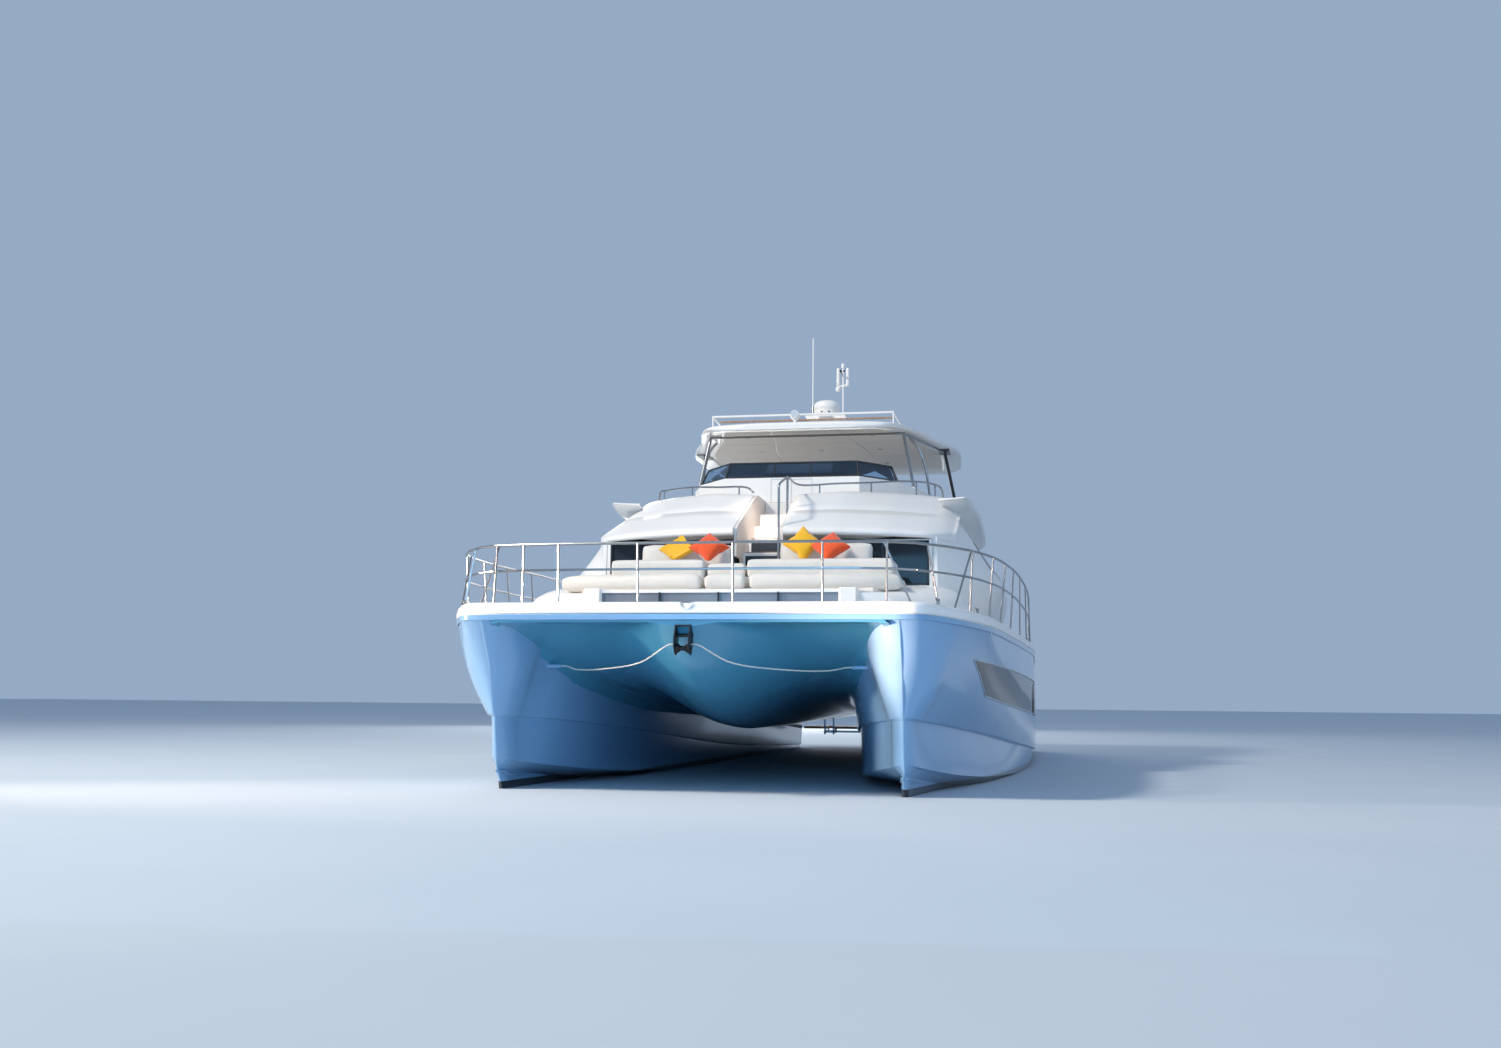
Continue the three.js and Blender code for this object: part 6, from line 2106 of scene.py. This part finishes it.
def teak_sole():
    rows = []
    for i in range(25):
        y = 3.85 + 3.6 * i / 24
        low, high = sheer_at(y) + 0.054, sheer_at(y) + 0.07
        rows.append([(-3.3, y, low), (-3.3, y, high), (3.3, y, high), (3.3, y, low)])
    return loft(rows)


def door_frame():
    x0, x1, low, high, face = DOOR["x0"], DOOR["x1"], DOOR["low"], DOOR["high"], DOOR["face"]
    bars = [(x0, x0 + 0.055, low, high), (x1 - 0.055, x1, low, high)]
    bars += [(x0, x1, high - 0.06, high), (x0, x1, low, low + 0.09)]
    frame_bars = [block(a, b, face - 0.01, face + 0.008, c, d) for a, b, c, d in bars]
    grip = [(x0 + 0.1, face + out, z) for out, z in ((0, 2.5), (0.045, 2.52), (0.045, 2.88), (0, 2.9))]
    return merged(pipe(grip, 0.012, 10), *frame_bars)


piece("cockpit_teak", *teak_sole(), TEAK)
piece("saloon_door_frame", *door_frame(), DARK_METAL, body="saloon_door", bevel=0.004)
panes, borders = [], []
for x0, x1 in ((-2.35, -1.02), (1.02, 2.35)):
    panes.append(block(x0, x1, AFT_WALL - 0.01, AFT_WALL + 0.006, 2.3, 3.5))
    corners = [(x0, 2.3), (x1, 2.3), (x1, 3.5), (x0, 3.5)]
    borders.append(ring_pipe([Vector((x, AFT_WALL + 0.004, z)) for x, z in corners], 0.016, 8))
piece("saloon_aft_windows", *merged(*panes), DARK_GLASS, bevel=0.003)
piece("saloon_aft_window_frames", *merged(*borders), DARK_METAL)
print("door", round(DOOR["x1"] - DOOR["x0"], 2), "m wide; teak sole laid")

# %% [markdown]
# Seen from astern, the sofas turn their backs. Each back is made of moulded panels, and two of the
# cockpit's are locker doors with a steel pull.

# %% Panels on the sofa backs
backs = [block(x0, x1, 6.962, 6.972, 1.84, 2.5) for x0, x1 in ((-1.62, -0.86), (-0.8, 0.8), (0.86, 1.62))]
backs += [block(x0, x1, 4.932, 4.941, 4.2, 4.8) for x0, x1 in ((-2.0, -0.72), (-0.66, 0.66), (0.72, 2.0))]
pulls = [pipe([(x, 6.968, 2.08), (x, 6.992, 2.09), (x, 6.992, 2.24), (x, 6.968, 2.25)], 0.007, 8)
         for x in (-0.93, 0.93)]
piece("sofa_back_panels", *merged(*backs), WHITE, bevel=0.005)
piece("locker_pulls", *merged(*pulls), STEEL)
print(len(backs), "panels and", len(pulls), "pulls")

# %% [markdown]
# The stern rails are bent tubes on short posts with round feet, as on the brows. On each bow, slanting
# stays brace the guard rail beside its gate.

# %% Stern rails
RAIL_STEPS = 60


def stern_railing(route, shares, foot):
    """A rail along the route with posts at the given shares of it, down to the height that foot gives."""
    line = curve_through(route, RAIL_STEPS)
    heads = [line[round(share * RAIL_STEPS)] for share in shares]
    return rail(line, 0.015, [(head, foot(head.y)) for head in heads], 0.012)


STERN_RAIL = [(3.62, 5.9, 1.76), (3.62, 5.98, 2.2), (3.6, 6.2, 2.42), (3.58, 7.0, 2.4), (3.5, 7.42, 2.38),
              (3.3, 7.55, 2.38), (2.2, 7.58, 2.38), (1.95, 7.58, 2.3), (1.9, 7.58, 1.75)]
FLY_STERN_HALF = [(-2.5, 5.06, 4.09), (-2.5, 5.1, 4.5), (-2.45, 5.3, 4.9), (-2.2, 5.62, 4.92),
                  (-1.0, 5.7, 4.92)]
FLY_STERN_RAIL = FLY_STERN_HALF + flipped(FLY_STERN_HALF[::-1])
STAYS = [((2.39, -8.12, 2.06), (2.12, -8.285, 2.69)), ((2.83, -7.6, 2.04), (2.99, -6.95, 2.712))]
pair("gate_stays", merged(*[pipe(ends, 0.011, 10) for ends in STAYS]), STEEL)
pair("stern_rail", stern_railing(STERN_RAIL, (0.3, 0.5, 0.66, 0.82), lambda y: sheer_at(y) + 0.054), STEEL)
piece("fly_stern_rail", *stern_railing(FLY_STERN_RAIL, (0.22, 0.34, 0.5, 0.66, 0.78), lambda y: 4.088), STEEL)
print("stern rail", round(length_of(curve_through(STERN_RAIL, RAIL_STEPS)), 2), "m")

# %% [markdown]
# ## Solids that keep their shape
#
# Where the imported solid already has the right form, it stays and only gets its finish and, on moulded
# parts, a rounded edge. All the other solids are drawn again above.

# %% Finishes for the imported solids
KEPT = [
    # finish, rounded edge in metres, nodes
    (WHITE, 0.012, ["trunk_cabin", "lounge_base", "saloon_aft", "saloon_front", "fly_deck", "fly_coaming"]),
    (WHITE, 0.015, ["helm_console", "locker_lid", "radar_mast"]),
    (TEAK, 0.01, ["swim_platform"]),
    (GREY_GLASS, 0.0, ["trunk_window"]),
    (DARK_GLASS, 0.0, ["saloon_door", "front_glass_port", "front_glass_starboard"]),
    (SCREEN_GLASS, 0.0, ["fly_windscreen"]),
    (STEEL, 0.004, ["platform_arms"]),
    (WHITE, 0.004, ["roof_rack"]),
    (STEEL, 0.0, ["bow_rail", "side_rail_port", "side_rail_starboard"]),
    (BLACK_PLASTIC, 0.0, ["helm_wheel"]),
    (IRON, 0.02, ["engine_port", "engine_starboard"]),
]


for finish, width, names in KEPT:
    for name in names:
        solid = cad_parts[name]
        solid.data.materials.clear()
        solid.data.materials.append(finish)
        if width:
            soften(solid, width)
print("solids that stay:", sum(len(names) for _, _, names in KEPT), "of", len(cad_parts))
